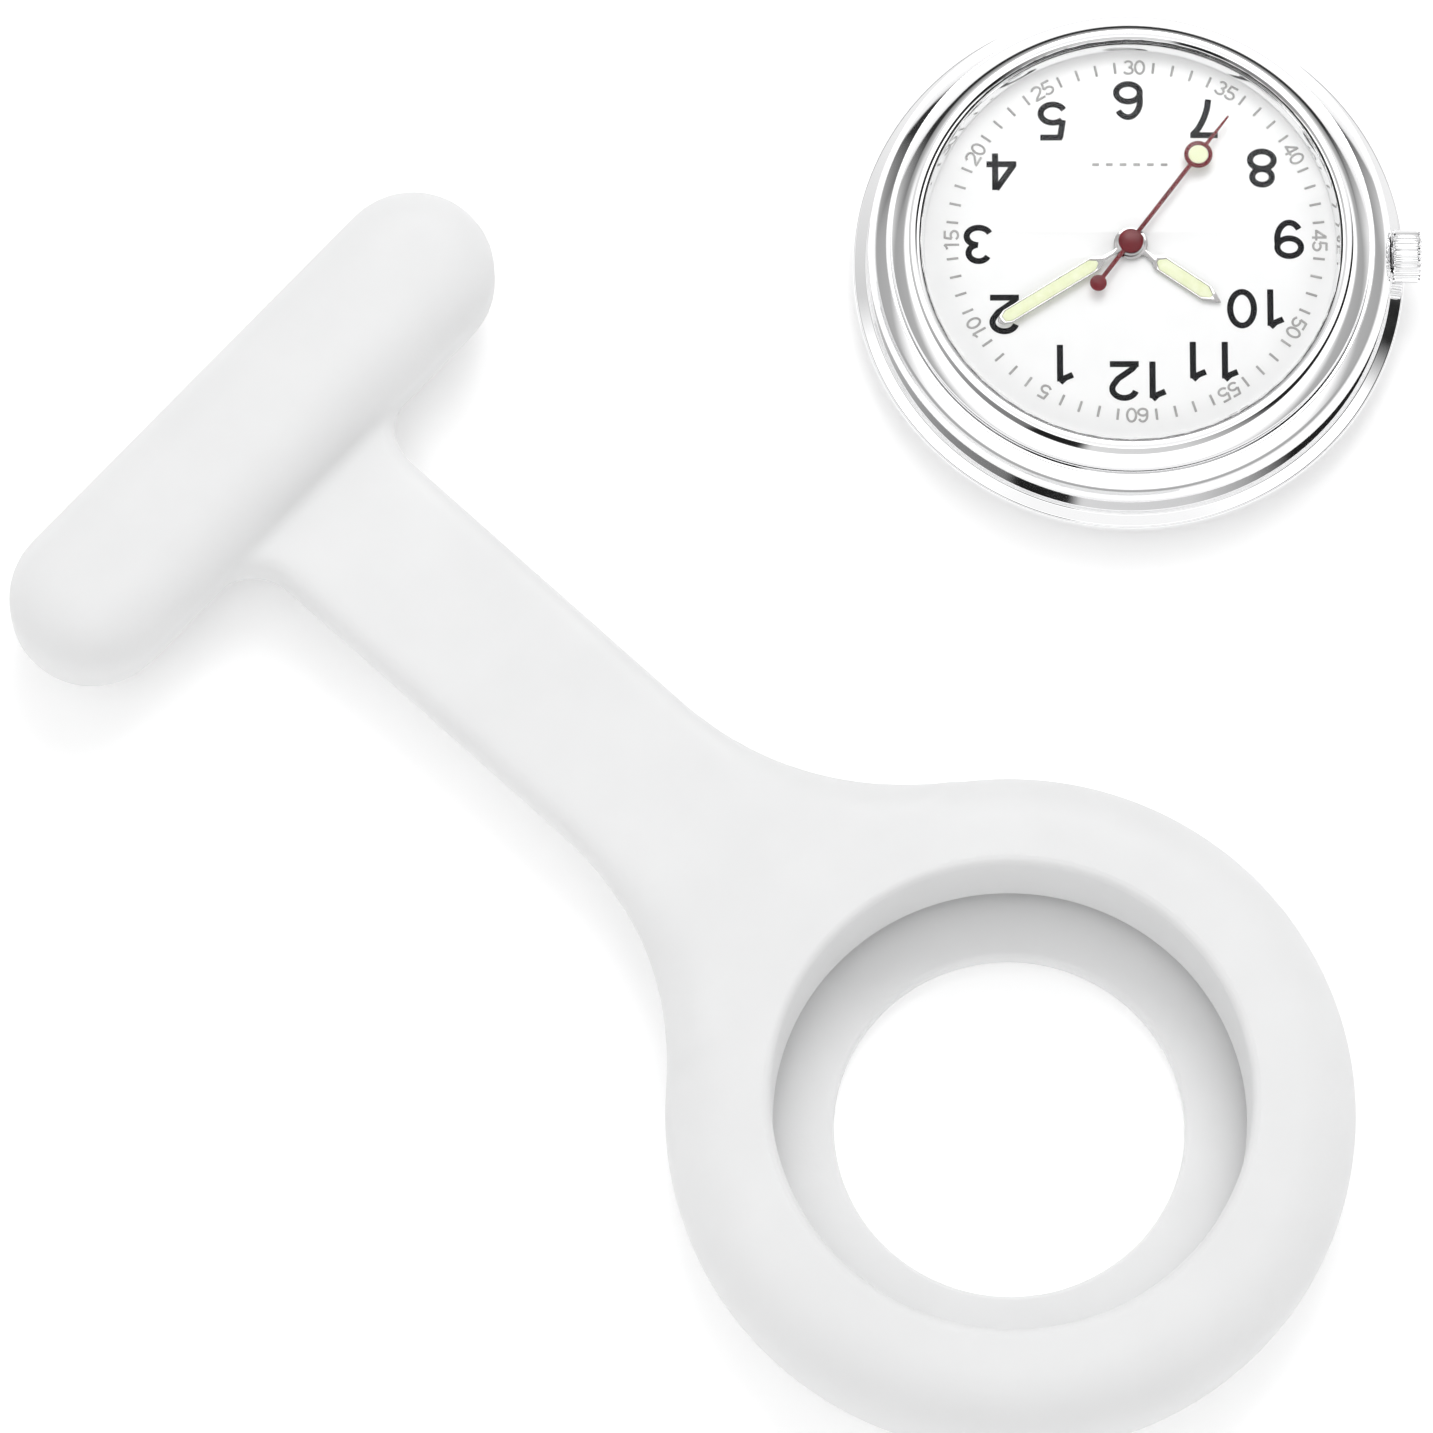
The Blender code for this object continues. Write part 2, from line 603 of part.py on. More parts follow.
def train():
    """Rotor to seconds to minutes to hours, each pair of gears in mesh."""
    fourth_pinion = gear(LEAVES, THIRD_MODULE, 0)
    third_phase = meshed(0, LEAVES, THIRD_DIRECTION, THIRD_TEETH)
    centre_phase = meshed(third_phase, LEAVES, THIRD_DIRECTION + 180, CENTRE_TEETH)
    fifth_phase = meshed(0, FOURTH_TEETH, FIFTH_DIRECTION, LEAVES)
    rotor_phase = meshed(fifth_phase, FIFTH_TEETH, ROTOR_DIRECTION, LEAVES)
    minute_phase = meshed(0, CANNON_LEAVES, MINUTE_WHEEL_DIRECTION, MINUTE_WHEEL_TEETH)
    hour_phase = meshed(minute_phase, CANNON_LEAVES, MINUTE_WHEEL_DIRECTION + 180, HOUR_TEETH)

    wheel(
        "fourth_wheel", (0, 0),
        gear(FOURTH_TEETH, FOURTH_MODULE, 0), (2.75, 2.9),
        fourth_pinion, (2.85, 3.4),
        (0.1, 2.35, 6.57),
    )
    wheel(
        "third_wheel", THIRD_AT,
        gear(THIRD_TEETH, THIRD_MODULE, third_phase), (3.2, 3.35),
        gear(LEAVES, CENTRE_MODULE, third_phase), (3.3, 3.8),
        (0.12, 2.35, 3.95),
    )
    wheel(
        "fifth_wheel", FIFTH_AT,
        gear(FIFTH_TEETH, FIFTH_MODULE, fifth_phase), (3.2, 3.35),
        gear(LEAVES, FOURTH_MODULE, fifth_phase), (2.7, 3.25),
        (0.12, 2.35, 3.45),
    )
    wheel(
        "rotor", ROTOR_AT,
        circle(0.75, MEDIUM), (2.42, 2.95),
        gear(LEAVES, FIFTH_MODULE, rotor_phase), (2.9, 3.5),
        (0.12, 2.35, 3.95),
        "steel",
    )
    centre = wheel(
        "centre_wheel", (0, 0),
        gear(CENTRE_TEETH, CENTRE_MODULE, centre_phase), (3.55, 3.7),
        gear(CANNON_LEAVES, CANNON_MODULE, 0), (4.78, 5.0),
        (0.32, 3.5, 6.38),
    )
    cut(centre, disc(0.16, 3, 7))
    minute = wheel(
        "minute_wheel", MINUTE_WHEEL_AT,
        gear(MINUTE_WHEEL_TEETH, CANNON_MODULE, minute_phase), (4.8, 4.95),
        gear(CANNON_LEAVES, HOUR_MODULE, minute_phase), (4.9, 5.3),
        (0.45, 4.85, 5.25),
    )
    cut(minute, disc(0.25, 4, 6))
    hour = wheel(
        "hour_wheel", (0, 0),
        gear(HOUR_TEETH, HOUR_MODULE, hour_phase), (5.05, 5.2),
        None, None,
        (0.55, 5.1, 6.14),
    )
    cut(hour, disc(0.38, 4.5, 7))


# ---- the rest of the movement ----

SCREWS_AT = ((-1.7, 5.5), (-5.0, 3.2), (1.1, -5.0))
BRIDGE_AT, BRIDGE_R = (-0.8, 0.4), 6.3
BATTERY_AT, BATTERY_R = (6.4, -3.7), 3.4
COIL_Y, COIL_Z = -7.9, 3.0


def plates():
    """The main plate with its pillars and stud, the train bridge, and the screws that hold them together."""
    holes = [circle(0.45), circle(BATTERY_R + 0.15, MEDIUM, BATTERY_AT)]
    main = piece("main_plate", plate([circle(PLATE_R, FINE), *holes], PLATE_LOW, PLATE_HIGH), "brass", watch)
    join(main, disc(0.2, PLATE_HIGH - 0.2, 5.32, centre=MINUTE_WHEEL_AT))
    for at in SCREWS_AT:
        join(main, disc(0.6, BRIDGE_HIGH + 0.05, PLATE_LOW + 0.2, centre=at))
    cut(main, box((-13, -1.0, 3.0), (-5.0, 1.0, 4.75)))
    for at in SCREWS_AT:
        cut(main, disc(0.33, 1.0, 4.3, centre=at))

    bridge_holes = [circle(0.35, COARSE, at) for at in SCREWS_AT]
    outline = circle(BRIDGE_R, FINE // 2, BRIDGE_AT)
    piece("train_bridge", plate([outline, *bridge_holes], BRIDGE_LOW, BRIDGE_HIGH), "steel", watch)
    for number, at in enumerate(SCREWS_AT, 1):
        head = disc(0.55, BRIDGE_LOW - 0.3, BRIDGE_LOW - 0.02, centre=at)
        screw = piece(f"bridge_screw_{number}", head, "steel", watch)
        join(screw, disc(0.28, BRIDGE_LOW - 0.1, 4.2, centre=at))
        slot = box((at[0] - 1, at[1] - 0.08, BRIDGE_LOW - 0.5), (at[0] + 1, at[1] + 0.08, BRIDGE_LOW - 0.2))
        cut(screw, slot)


def electrics():
    """Battery and clip, circuit board, chip and quartz crystal, and the motor's coil, core and stator."""
    battery = [(0, 2.4), (2.6, 2.4), (2.6, 2.55), (BATTERY_R, 2.55), (BATTERY_R, 4.05), (0, 4.05)]
    turned("battery", battery[::-1], "steel", watch, MEDIUM, (*BATTERY_AT, 0))

    clip = aside(box((-4.3, -0.9, 2.15), (4.3, 0.9, 2.3)), 60.3)
    piece("battery_clip", clip, "steel", watch, (*BATTERY_AT, 0))

    board = arc(10.6, 85, 135, 8) + arc(7.3, 135, 85, 6)
    piece("circuit_board", plate([board], 2.5, 2.7), "board", watch)
    piece("ic_chip", box((-3.9, 7.6, 2.15), (-2.1, 9.2, 2.46)), "black_resin", watch)
    piece("quartz_crystal", rod((3.7, 8.7, 3.2), (8.0, 6.3, 3.2), 0.72), "steel", watch)

    coil = rod((-6.3, COIL_Y, COIL_Z), (-0.9, COIL_Y, COIL_Z), 0.85, 16)
    winding = piece("coil_winding", coil, "copper", watch)
    cut(winding, rod((-8, COIL_Y, COIL_Z), (1, COIL_Y, COIL_Z), 0.62))
    core = box((-7.3, COIL_Y - 0.45, COIL_Z - 0.25), (0.1, COIL_Y + 0.45, COIL_Z + 0.25))
    piece("coil_core", core, "steel", watch)
    left, right, low, high = -7.3, 0.1, COIL_Y - 0.45, -2.3
    arch = [
        (left, low),
        (left, high),
        (right, high),
        (right, low),
        (-0.75, low),
        (-0.75, -5.0),
        (-6.45, -5.0),
        (-6.45, low),
    ]
    piece("stator", plate([arch, circle(0.95, MEDIUM, ROTOR_AT)], 2.45, 2.65), "steel", watch)


# ---- crown and setting work ----


def crown():
    """The crown on its stem, which slides out on the lever and turns the sliding pinion."""
    rim = []
    teeth = 20
    for tooth in range(teeth):
        for radius, offset in ((1.45, 0.0), (1.6, 0.25), (1.6, 0.6), (1.45, 0.85)):
            rim.append(polar(radius, (tooth + offset) * 360 / teeth))
    body = plate([rim], 15.75, 17.35)
    body.transform(Matrix.Rotation(math.radians(-90), 4, "Y"))
    at_stem = (0, 0, STEM_Z)
    grip = piece("crown", body, "chrome", watch, at_stem)
    join(grip, rod((-17.3, 0, 0), (-17.6, 0, 0), 1.42, MEDIUM, 1.1))
    cut(grip, rod((-15, 0, 0), (-16.9, 0, 0), 0.98, 16), rod((-16.5, 0, 0), (-17.3, 0, 0), 0.34))

    gasket = piece("crown_gasket", rod((-15.9, 0, 0), (-16.25, 0, 0), 0.93, 16), "rubber", watch, at_stem)
    cut(gasket, rod((-15, 0, 0), (-17, 0, 0), 0.77, 16))

    stem = piece("stem", rod((-5.1, 0, 0), (-8.2, 0, 0), 0.29), "steel", watch, at_stem)
    join(stem, rod((-8.1, 0, 0), (-9.1, 0, 0), 0.17), rod((-9.0, 0, 0), (-17.25, 0, 0), 0.29))

    pinion = plate([gear(10, 0.13, 0)], 5.4, 6.6)
    pinion.transform(Matrix.Rotation(math.radians(-90), 4, "Y"))
    sliding = piece("sliding_pinion", pinion, "steel", watch, at_stem)
    cut(sliding, rod((-5, 0, 0), (-7, 0, 0), 0.34))

    lever = box((-9.3, -0.7, 3.0), (-7.9, 2.4, 3.2))
    setting = piece("setting_lever", lever, "steel", watch)
    join(setting, disc(0.28, 3.15, 3.68, centre=(-8.6, 0)))


case()
dial()
hands()
train()
plates()
electrics()
crown()
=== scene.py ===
# Looks for the fob watch: the soft white holder, the polished watch beside it, and the studio they lie in.
# Shapes are drawn in millimetres about the ring's or the watch's own middle, and turned into metres once.

import json
import math

import bmesh
import bpy
from mathutils import Matrix, Vector


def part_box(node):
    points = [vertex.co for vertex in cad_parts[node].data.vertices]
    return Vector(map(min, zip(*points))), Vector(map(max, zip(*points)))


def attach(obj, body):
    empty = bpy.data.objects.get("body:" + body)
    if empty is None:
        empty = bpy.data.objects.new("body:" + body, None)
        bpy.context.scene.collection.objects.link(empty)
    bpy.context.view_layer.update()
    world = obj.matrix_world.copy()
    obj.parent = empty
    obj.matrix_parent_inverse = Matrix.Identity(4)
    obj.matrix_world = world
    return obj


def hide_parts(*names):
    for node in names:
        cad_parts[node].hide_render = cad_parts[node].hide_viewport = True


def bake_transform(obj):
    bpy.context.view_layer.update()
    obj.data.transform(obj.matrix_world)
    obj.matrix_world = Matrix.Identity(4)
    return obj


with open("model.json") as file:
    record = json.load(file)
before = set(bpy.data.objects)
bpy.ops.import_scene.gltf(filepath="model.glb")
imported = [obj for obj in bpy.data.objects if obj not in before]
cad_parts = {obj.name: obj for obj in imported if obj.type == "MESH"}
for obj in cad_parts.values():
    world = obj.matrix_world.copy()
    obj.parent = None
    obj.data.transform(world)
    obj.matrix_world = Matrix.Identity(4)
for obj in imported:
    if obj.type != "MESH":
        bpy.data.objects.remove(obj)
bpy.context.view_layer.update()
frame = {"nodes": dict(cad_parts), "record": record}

MM = 0.001

# ---- places and sizes, from the frame, in millimetres ----


def middle(node):
    low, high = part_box(node)
    return (low + high) / 2


def reach(node):
    """Half the width along X, Y and Z, and the lowest and highest Z."""
    low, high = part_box(node)
    return *((high - low) / 2 / MM), low.z / MM, high.z / MM


def on_table(point):
    return Vector((point.x, point.y, 0))


RING_AT = on_table(middle("silicone_ring"))
BAR_AT = on_table(middle("silicone_bar"))
WATCH_AT = on_table(middle("case_body"))
to_three = WATCH_AT - on_table(middle("crown"))  # the crown is at 9 o'clock
WATCH_TURN = math.atan2(to_three.y, to_three.x)

RING_PLACE = Matrix.Translation(RING_AT)
WATCH_PLACE = Matrix.Translation(WATCH_AT) @ Matrix.Rotation(WATCH_TURN, 4, "Z")

RING_R, _, _, _, RING_TOP = reach("silicone_ring")
BAR_HALF, BAR_HALF_WIDTH, _, BAR_LOW, BAR_HIGH = reach("silicone_bar")
BAR_Y = (BAR_AT - RING_AT).y / MM
_, _, _, STRAP_LOW, STRAP_HIGH = reach("silicone_strap")
FLANGE_R, _, _, FLANGE_LOW, CASE_TOP = reach("case_body")
CRYSTAL_R, _, _, CRYSTAL_LOW, CRYSTAL_TOP = reach("crystal")
DIAL_R, _, _, _, DIAL_TOP = reach("dial")
STEM_Z = middle("crown").z / MM

CASE_R = 15.7
BEZEL_R = 14.3
OPENING_R = 12.65
REHAUT_R = 12.3

LIP_R, WALL_FOOT_R, HOLE_R = 14.1, 13.95, 10.35  # the ring's pocket
POCKET_FLOOR, GROOVE_TOP, GROOVE_R = 1.4, 2.4, 16.9
RING_SIDE = 3.9  # rounding of the ring's outside
STRAP_HALF, STRAP_FLARE_R, STRAP_ROOT_R = 5.4, 19.6, 3.0

HOUR_ANGLE, MINUTE_ANGLE, SECOND_ANGLE = 304.8, 57.6, 216.6  # clockwise from 12
HOUR_Z, MINUTE_Z, SECOND_Z = (6.02, 6.14), (6.28, 6.38), (6.50, 6.58)  # lowest and highest

ROUND = 192  # steps round a large turned shape


# ---- materials ----


def colour_ramp(tree, source, stops):
    """A ramp over a value: each stop is (position, colour) or (position, grey level)."""
    node = tree.nodes.new("ShaderNodeValToRGB")
    elements = node.color_ramp.elements
    while len(elements) < len(stops):
        elements.new(0.5)
    for element, (position, value) in zip(elements, stops):
        element.position = position
        element.color = (*value, 1) if isinstance(value, tuple) else (value, value, value, 1)
    tree.links.new(source, node.inputs["Fac"])
    return node.outputs["Color"]


class Look:
    """A Principled material that is built up from procedural layers."""

    def __init__(self, name, colour, roughness, metallic=0.0, **sockets):
        self.material = bpy.data.materials.new(name)
        self.material.use_nodes = True
        self.tree = self.material.node_tree
        self.shader = self.tree.nodes["Principled BSDF"]
        self.set("Base Color", (*colour, 1))
        self.set("Roughness", roughness)
        self.set("Metallic", metallic)
        for socket, value in sockets.items():
            self.set(socket.replace("_", " ").title().replace("Ior", "IOR"), value)
        place = self.tree.nodes.new("ShaderNodeTexCoord")
        self.place = place.outputs["Object"]

    def set(self, socket, value):
        self.shader.inputs[socket].default_value = value

    def noise(self, size, stretch=(1, 1, 1), detail=3.0):
        """Noise with features of a size in millimetres, stretched along an axis where its number is small."""
        mapping = self.tree.nodes.new("ShaderNodeMapping")
        mapping.inputs["Scale"].default_value = stretch
        self.tree.links.new(self.place, mapping.inputs["Vector"])
        texture = self.tree.nodes.new("ShaderNodeTexNoise")
        texture.inputs["Scale"].default_value = 1 / (size * MM)
        texture.inputs["Detail"].default_value = detail
        self.tree.links.new(mapping.outputs["Vector"], texture.inputs["Vector"])
        return texture.outputs["Fac"]

    def vary(self, socket, source, first, second, low=0.35, high=0.65):
        mixed = colour_ramp(self.tree, source, [(low, first), (high, second)])
        self.tree.links.new(mixed, self.shader.inputs[socket])

    def colours(self, source, first, second, low=0.35, high=0.65):
        self.vary("Base Color", source, first, second, low, high)

    def roughnesses(self, source, first, second):
        self.vary("Roughness", source, first, second)

    def bump(self, source, depth, strength=1.0):
        """Relief of a depth in millimetres."""
        node = self.tree.nodes.new("ShaderNodeBump")
        node.inputs["Strength"].default_value = strength
        node.inputs["Distance"].default_value = depth * MM
        self.tree.links.new(source, node.inputs["Height"])
        self.tree.links.new(node.outputs["Normal"], self.shader.inputs["Normal"])
        return self


def silicone():
    look = Look("silicone_white", (0.815, 0.817, 0.819), 0.52, specular_ior_level=0.35)
    look.set("Subsurface Weight", 0.12)
    look.set("Subsurface Radius", (1.0, 1.0, 1.0))
    look.set("Subsurface Scale", 0.0012)
    cloud = look.noise(6.0, detail=4)
    look.colours(cloud, (0.805, 0.807, 0.809), (0.825, 0.827, 0.829))
    look.roughnesses(look.noise(1.6), 0.46, 0.60)
    return look.bump(look.noise(0.22, detail=2), 0.012, 0.35).material


def chrome(name, colour):
    look = Look(name, colour, 0.05, 1.0)
    look.roughnesses(look.noise(2.2, detail=5), 0.03, 0.075)
    return look.bump(look.noise(1.1, detail=1), 0.0006, 0.5).material


def steel(name, lay, roughness=(0.22, 0.36)):
    """Stainless steel, brushed along the axis whose number in lay is small."""
    look = Look(name, (0.62, 0.62, 0.63), 0.3, 1.0)
    lines = look.noise(0.12, lay, 4)
    look.colours(look.noise(3.0), (0.58, 0.58, 0.59), (0.67, 0.67, 0.68))
    look.roughnesses(lines, *roughness)
    return look.bump(lines, 0.004, 0.5).material


def brass():
    look = Look("brass", (0.74, 0.55, 0.26), 0.28, 1.0)
    look.colours(look.noise(1.5, detail=5), (0.66, 0.47, 0.20), (0.80, 0.61, 0.31))
    grain = look.noise(0.1, (1, 0.15, 1), 3)
    look.roughnesses(grain, 0.20, 0.38)
    return look.bump(grain, 0.002, 0.5).material


def copper_wire():
    """A close winding of enamelled wire: fine rings along the coil, with painted shade in the grooves between
    turns.
    """
    look = Look("copper_wire", (0.62, 0.25, 0.11), 0.32, 1.0)
    wave = look.tree.nodes.new("ShaderNodeTexWave")
    wave.inputs["Scale"].default_value = 1 / (0.32 * MM)
    turned = look.tree.nodes.new("ShaderNodeMapping")
    turned.inputs["Rotation"].default_value = (0, 0, -WATCH_TURN)
    look.tree.links.new(look.place, turned.inputs["Vector"])
    look.tree.links.new(turned.outputs["Vector"], wave.inputs["Vector"])
    # painted shade: the colour darkens in the grooves between turns and lightens on the crests, following the
    # bump
    look.colours(wave.outputs["Fac"], (0.30, 0.09, 0.04), (0.72, 0.32, 0.15), 0.1, 0.7)
    return look.bump(wave.outputs["Fac"], 0.03, 0.8).material


def painted(name, first, second, roughness, size, depth, specular=0.3):
    """Paint, lacquer or moulded plastic: a colour that varies a little over a fine grain."""
    look = Look(name, first, sum(roughness) / 2, specular_ior_level=specular)
    look.colours(look.noise(size, detail=4), first, second)
    look.roughnesses(look.noise(size / 3), *roughness)
    return look.bump(look.noise(size / 12, detail=2), depth, 0.4).material


def crystal_glass():
    """Clear mineral glass that lets the studio's light through to the dial."""
    look = Look("crystal_glass", (0.995, 0.998, 0.997), 0.01, ior=1.2, transmission_weight=1.0)
    look.roughnesses(look.noise(4.0, detail=5), 0.0, 0.02)
    tree = look.tree
    clear = tree.nodes.new("ShaderNodeBsdfTransparent")
    path = tree.nodes.new("ShaderNodeLightPath")
    either = tree.nodes.new("ShaderNodeMath")
    either.operation = "MAXIMUM"
    mix = tree.nodes.new("ShaderNodeMixShader")
    tree.links.new(path.outputs["Is Shadow Ray"], either.inputs[0])
    tree.links.new(path.outputs["Is Diffuse Ray"], either.inputs[1])
    tree.links.new(either.outputs[0], mix.inputs[0])
    tree.links.new(look.shader.outputs[0], mix.inputs[1])
    tree.links.new(clear.outputs[0], mix.inputs[2])
    tree.links.new(mix.outputs[0], tree.nodes["Material Output"].inputs["Surface"])
    return look.material


SILICONE = silicone()
CHROME = chrome("chrome", (0.93, 0.93, 0.935))
STEEL = steel("steel", (0.05, 1, 1))
STEEL_CROSS = steel("steel_cross", (1, 0.05, 1))
BRASS = brass()
COPPER = copper_wire()
GLASS = crystal_glass()
HAND_METAL = chrome("hand_metal", (0.46, 0.45, 0.45))
DIAL_WHITE = painted("dial_white", (0.93, 0.93, 0.93), (0.95, 0.95, 0.95), (0.30, 0.42), 2.0, 0.004)
INK = painted("ink_black", (0.003, 0.003, 0.004), (0.008, 0.008, 0.010), (0.50, 0.65), 0.8, 0.002, 0.05)
PALE_INK = painted("ink_grey", (0.33, 0.325, 0.32), (0.41, 0.405, 0.40), (0.35, 0.50), 0.8, 0.002)
LUME = painted("luminous_paint", (0.82, 0.87, 0.56), (0.89, 0.93, 0.67), (0.50, 0.70), 0.5, 0.012)
RED = painted("red_lacquer", (0.11, 0.001, 0.005), (0.17, 0.002, 0.009), (0.12, 0.22), 0.7, 0.002, 0.25)
RUBBER = painted("black_rubber", (0.018, 0.018, 0.018), (0.035, 0.035, 0.035), (0.55, 0.75), 0.8, 0.010)
PLASTIC = painted("moulded_plastic", (0.76, 0.76, 0.72), (0.82, 0.82, 0.78), (0.38, 0.52), 1.2, 0.008)
BOARD = painted("solder_mask", (0.012, 0.11, 0.045), (0.025, 0.16, 0.07), (0.25, 0.45), 0.7, 0.010)
RESIN = painted("black_resin", (0.008, 0.008, 0.008), (0.018, 0.018, 0.018), (0.30, 0.45), 0.4, 0.006)

SLOT_LOOKS = {
    "silicone": SILICONE,
    "chrome": CHROME,
    "steel": STEEL,
    "brass": BRASS,
    "copper": COPPER,
    "dial_white": DIAL_WHITE,
    "lume": LUME,
    "hand_red": RED,
    "crystal": GLASS,
    "seal_rubber": RUBBER,
    "spacer_plastic": PLASTIC,
    "board": BOARD,
    "resin": RESIN,
}
CROSS_BRUSHED = ("pin_hinge_bracket", "catch_bracket", "train_bridge", "battery", "stator")


def dress_cad_nodes():
    for part in frame["record"]["subparts"]:
        look = STEEL_CROSS if part["node"] in CROSS_BRUSHED else SLOT_LOOKS[part["material_slot"]]
        mesh = frame["nodes"][part["node"]].data
        mesh.materials.clear()
        mesh.materials.append(look)


# ---- shapes, in millimetres ----


def arc(radius, start, end, steps, centre=(0.0, 0.0), squeeze=1.0):
    """Points along an arc, with its angles in degrees; squeeze flattens or stretches it upright."""
    angles = [math.radians(start + (end - start) * i / steps) for i in range(steps + 1)]
    return [(centre[0] + radius * math.cos(a), centre[1] + radius * squeeze * math.sin(a)) for a in angles]


def circle(radius, steps=64, centre=(0.0, 0.0)):
    return arc(radius, 0, 360, steps, centre)[:-1]


def rounded(corners, steps=6):
    """A profile with its corners rounded: each corner is (x, y, radius), and each end is kept as it is."""
    points = []
    for i, (x, y, radius) in enumerate(corners):
        if not radius or i in (0, len(corners) - 1):
            points.append((x, y))
            continue
        here = Vector((x, y))
        back = (Vector(corners[i - 1][:2]) - here).normalized()
        ahead = (Vector(corners[i + 1][:2]) - here).normalized()
        half = back.angle(ahead) / 2
        start = here + back * radius / math.tan(half)
        end = here + ahead * radius / math.tan(half)
        centre = here + (back + ahead).normalized() * radius / math.sin(half)
        first, last = start - centre, end - centre
        turn = first.angle(last)
        points.append(tuple(start + back * radius * 0.1))
        for step in range(steps + 1):
            share = step / steps
            mixed = first * math.sin((1 - share) * turn) + last * math.sin(share * turn)
            points.append(tuple(centre + mixed / math.sin(turn)))
        points.append(tuple(end + ahead * radius * 0.1))
    return points


def sloped(start, runs):
    """A profile drawn outwards by its slope: each run is (length, slope at its start, slope at its end)."""
    points = [start]
    for length, first, last in runs:
        steps = 1 if first == last else max(4, round(abs(last - first) / 5))
        for step in range(steps):
            slope = math.radians(first + (last - first) * (step + 0.5) / steps)
            x, z = points[-1]
            points.append((x + length / steps * math.cos(slope), z - length / steps * math.sin(slope)))
    return points


def new_mesh(name, points, faces):
    mesh = bpy.data.meshes.new(name)
    mesh.from_pydata([tuple(p) for p in points], [], faces)
    mesh.update()
    return mesh


def loft(name, rings, looped=False):
    """A skin over rings of the same count; its ends are closed unless the rings themselves make a loop."""
    count = len(rings[0])
    points = [p for ring in rings for p in ring]
    faces = []
    for i in range(len(rings) if looped else len(rings) - 1):
        this, following = i * count, (i + 1) % len(rings) * count
        for j in range(count):
            k = (j + 1) % count
            faces.append((this + j, this + k, following + k, following + j))
    if not looped:
        faces.append(tuple(reversed(range(count))))
        faces.append(tuple(range(len(points) - count, len(points))))
    return new_mesh(name, points, faces)


def lathe(name, profile, steps=ROUND):
    """A turned shape from (radius, height) points, top to bottom down its outer side."""
    solid = profile[0][0] < 1e-6
    angles = [math.tau * i / steps for i in range(steps)]
    if not solid:
        rings = [[(r * math.cos(a), r * math.sin(a), z) for r, z in profile] for a in angles]
        mesh = loft(name, rings, looped=True)
        mesh.flip_normals()
        return mesh
    points = [(r * math.cos(a), r * math.sin(a), z) for r, z in profile[1:-1] for a in angles]
    rows = len(profile) - 2
    faces = []
    for row in range(rows - 1):
        for i in range(steps):
            k = (i + 1) % steps
            faces.append((row * steps + i, (row + 1) * steps + i, (row + 1) * steps + k, row * steps + k))
    top, bottom = len(points), len(points) + 1
    points += [(0, 0, profile[0][1]), (0, 0, profile[-1][1])]
    last = (rows - 1) * steps
    for i in range(steps):
        k = (i + 1) % steps
        faces.append((top, i, k))
        faces.append((bottom, last + k, last + i))
    return new_mesh(name, points, faces)


def evaluated(mesh, *modifiers):
    """The mesh with modifiers applied: each is (type, settings)."""
    source = bpy.data.objects.new("work", mesh)
    bpy.context.scene.collection.objects.link(source)
    for kind, settings in modifiers:
        modifier = source.modifiers.new(kind, kind)
        for name, value in settings.items():
            setattr(modifier, name, value)
    made = bpy.data.meshes.new_from_object(source.evaluated_get(bpy.context.evaluated_depsgraph_get()))
    bpy.data.objects.remove(source)
    return made


def combined(mesh, other, operation):
    """One mesh cut by, or joined to, another."""
    helper = bpy.data.objects.new("helper", other)
    bpy.context.scene.collection.objects.link(helper)
    made = evaluated(mesh, ("BOOLEAN", {"operation": operation, "object": helper}))
    bpy.data.objects.remove(helper)
    return made


def joined(meshes):
    work = bmesh.new()
    for mesh in meshes:
        work.from_mesh(mesh)
    made = bpy.data.meshes.new("joined")
    work.to_mesh(made)
    work.free()
    return made


def flat(loops, low, high, edge=0.0):
    """A flat outline of one thickness with its edges rounded; loops after the first are its holes."""
    curve = bpy.data.curves.new("outline", "CURVE")
    curve.dimensions = "2D"
    curve.fill_mode = "BOTH"
    curve.extrude = (high - low) / 2 - edge
    curve.bevel_depth = edge
    curve.bevel_resolution = 1
    curve.offset = -edge
    for loop in loops:
        spline = curve.splines.new("POLY")
        spline.points.add(len(loop) - 1)
        for point, (x, y) in zip(spline.points, loop):
            point.co = (x, y, 0, 1)
        spline.use_cyclic_u = True
    mesh = evaluated(curve)
    work = bmesh.new()
    work.from_mesh(mesh)
    bmesh.ops.remove_doubles(work, verts=work.verts, dist=1e-4)
    bmesh.ops.translate(work, vec=(0, 0, (low + high) / 2), verts=work.verts)
    bmesh.ops.recalc_face_normals(work, faces=work.faces)
    work.to_mesh(mesh)
    work.free()
    return mesh


def bore_along_x(radius, half_length, x, z=0.0, steps=32):
    """A round cutter that lies along X, with its middle at x and z."""
    ends = half_length, -half_length
    tool = lathe("bore", [(0, ends[0]), (radius, ends[0]), (radius, ends[1]), (0, ends[1])], steps)
    tool.transform(Matrix.Translation((x, 0, z)) @ Matrix.Rotation(math.radians(90), 4, "Y"))
    return tool


def turn_about_z(mesh, degrees):
    mesh.transform(Matrix.Rotation(math.radians(degrees), 4, "Z"))


def show(name, mesh, place, look, sharp=35):
    """An object from a mesh in millimetres, at a place in the frame; the place's turn goes into the mesh."""
    mesh.name = name
    mesh.transform(place.to_3x3().to_4x4() @ Matrix.Scale(MM, 4))
    mesh.materials.clear()
    mesh.materials.append(look)
    mesh.shade_smooth()
    mesh.set_sharp_from_angle(angle=math.radians(sharp))
    obj = bpy.data.objects.new(name, mesh)
    bpy.context.scene.collection.objects.link(obj)
    obj.location = place.translation
    return obj


def fit(obj, body, slot, *nodes):
    """The piece rides on a body and stands for its CAD nodes, which it hides; the slot argument is not used.
    """
    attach(obj, body)
    if nodes:
        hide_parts(*nodes)
    return obj


# ---- the silicone holder ----

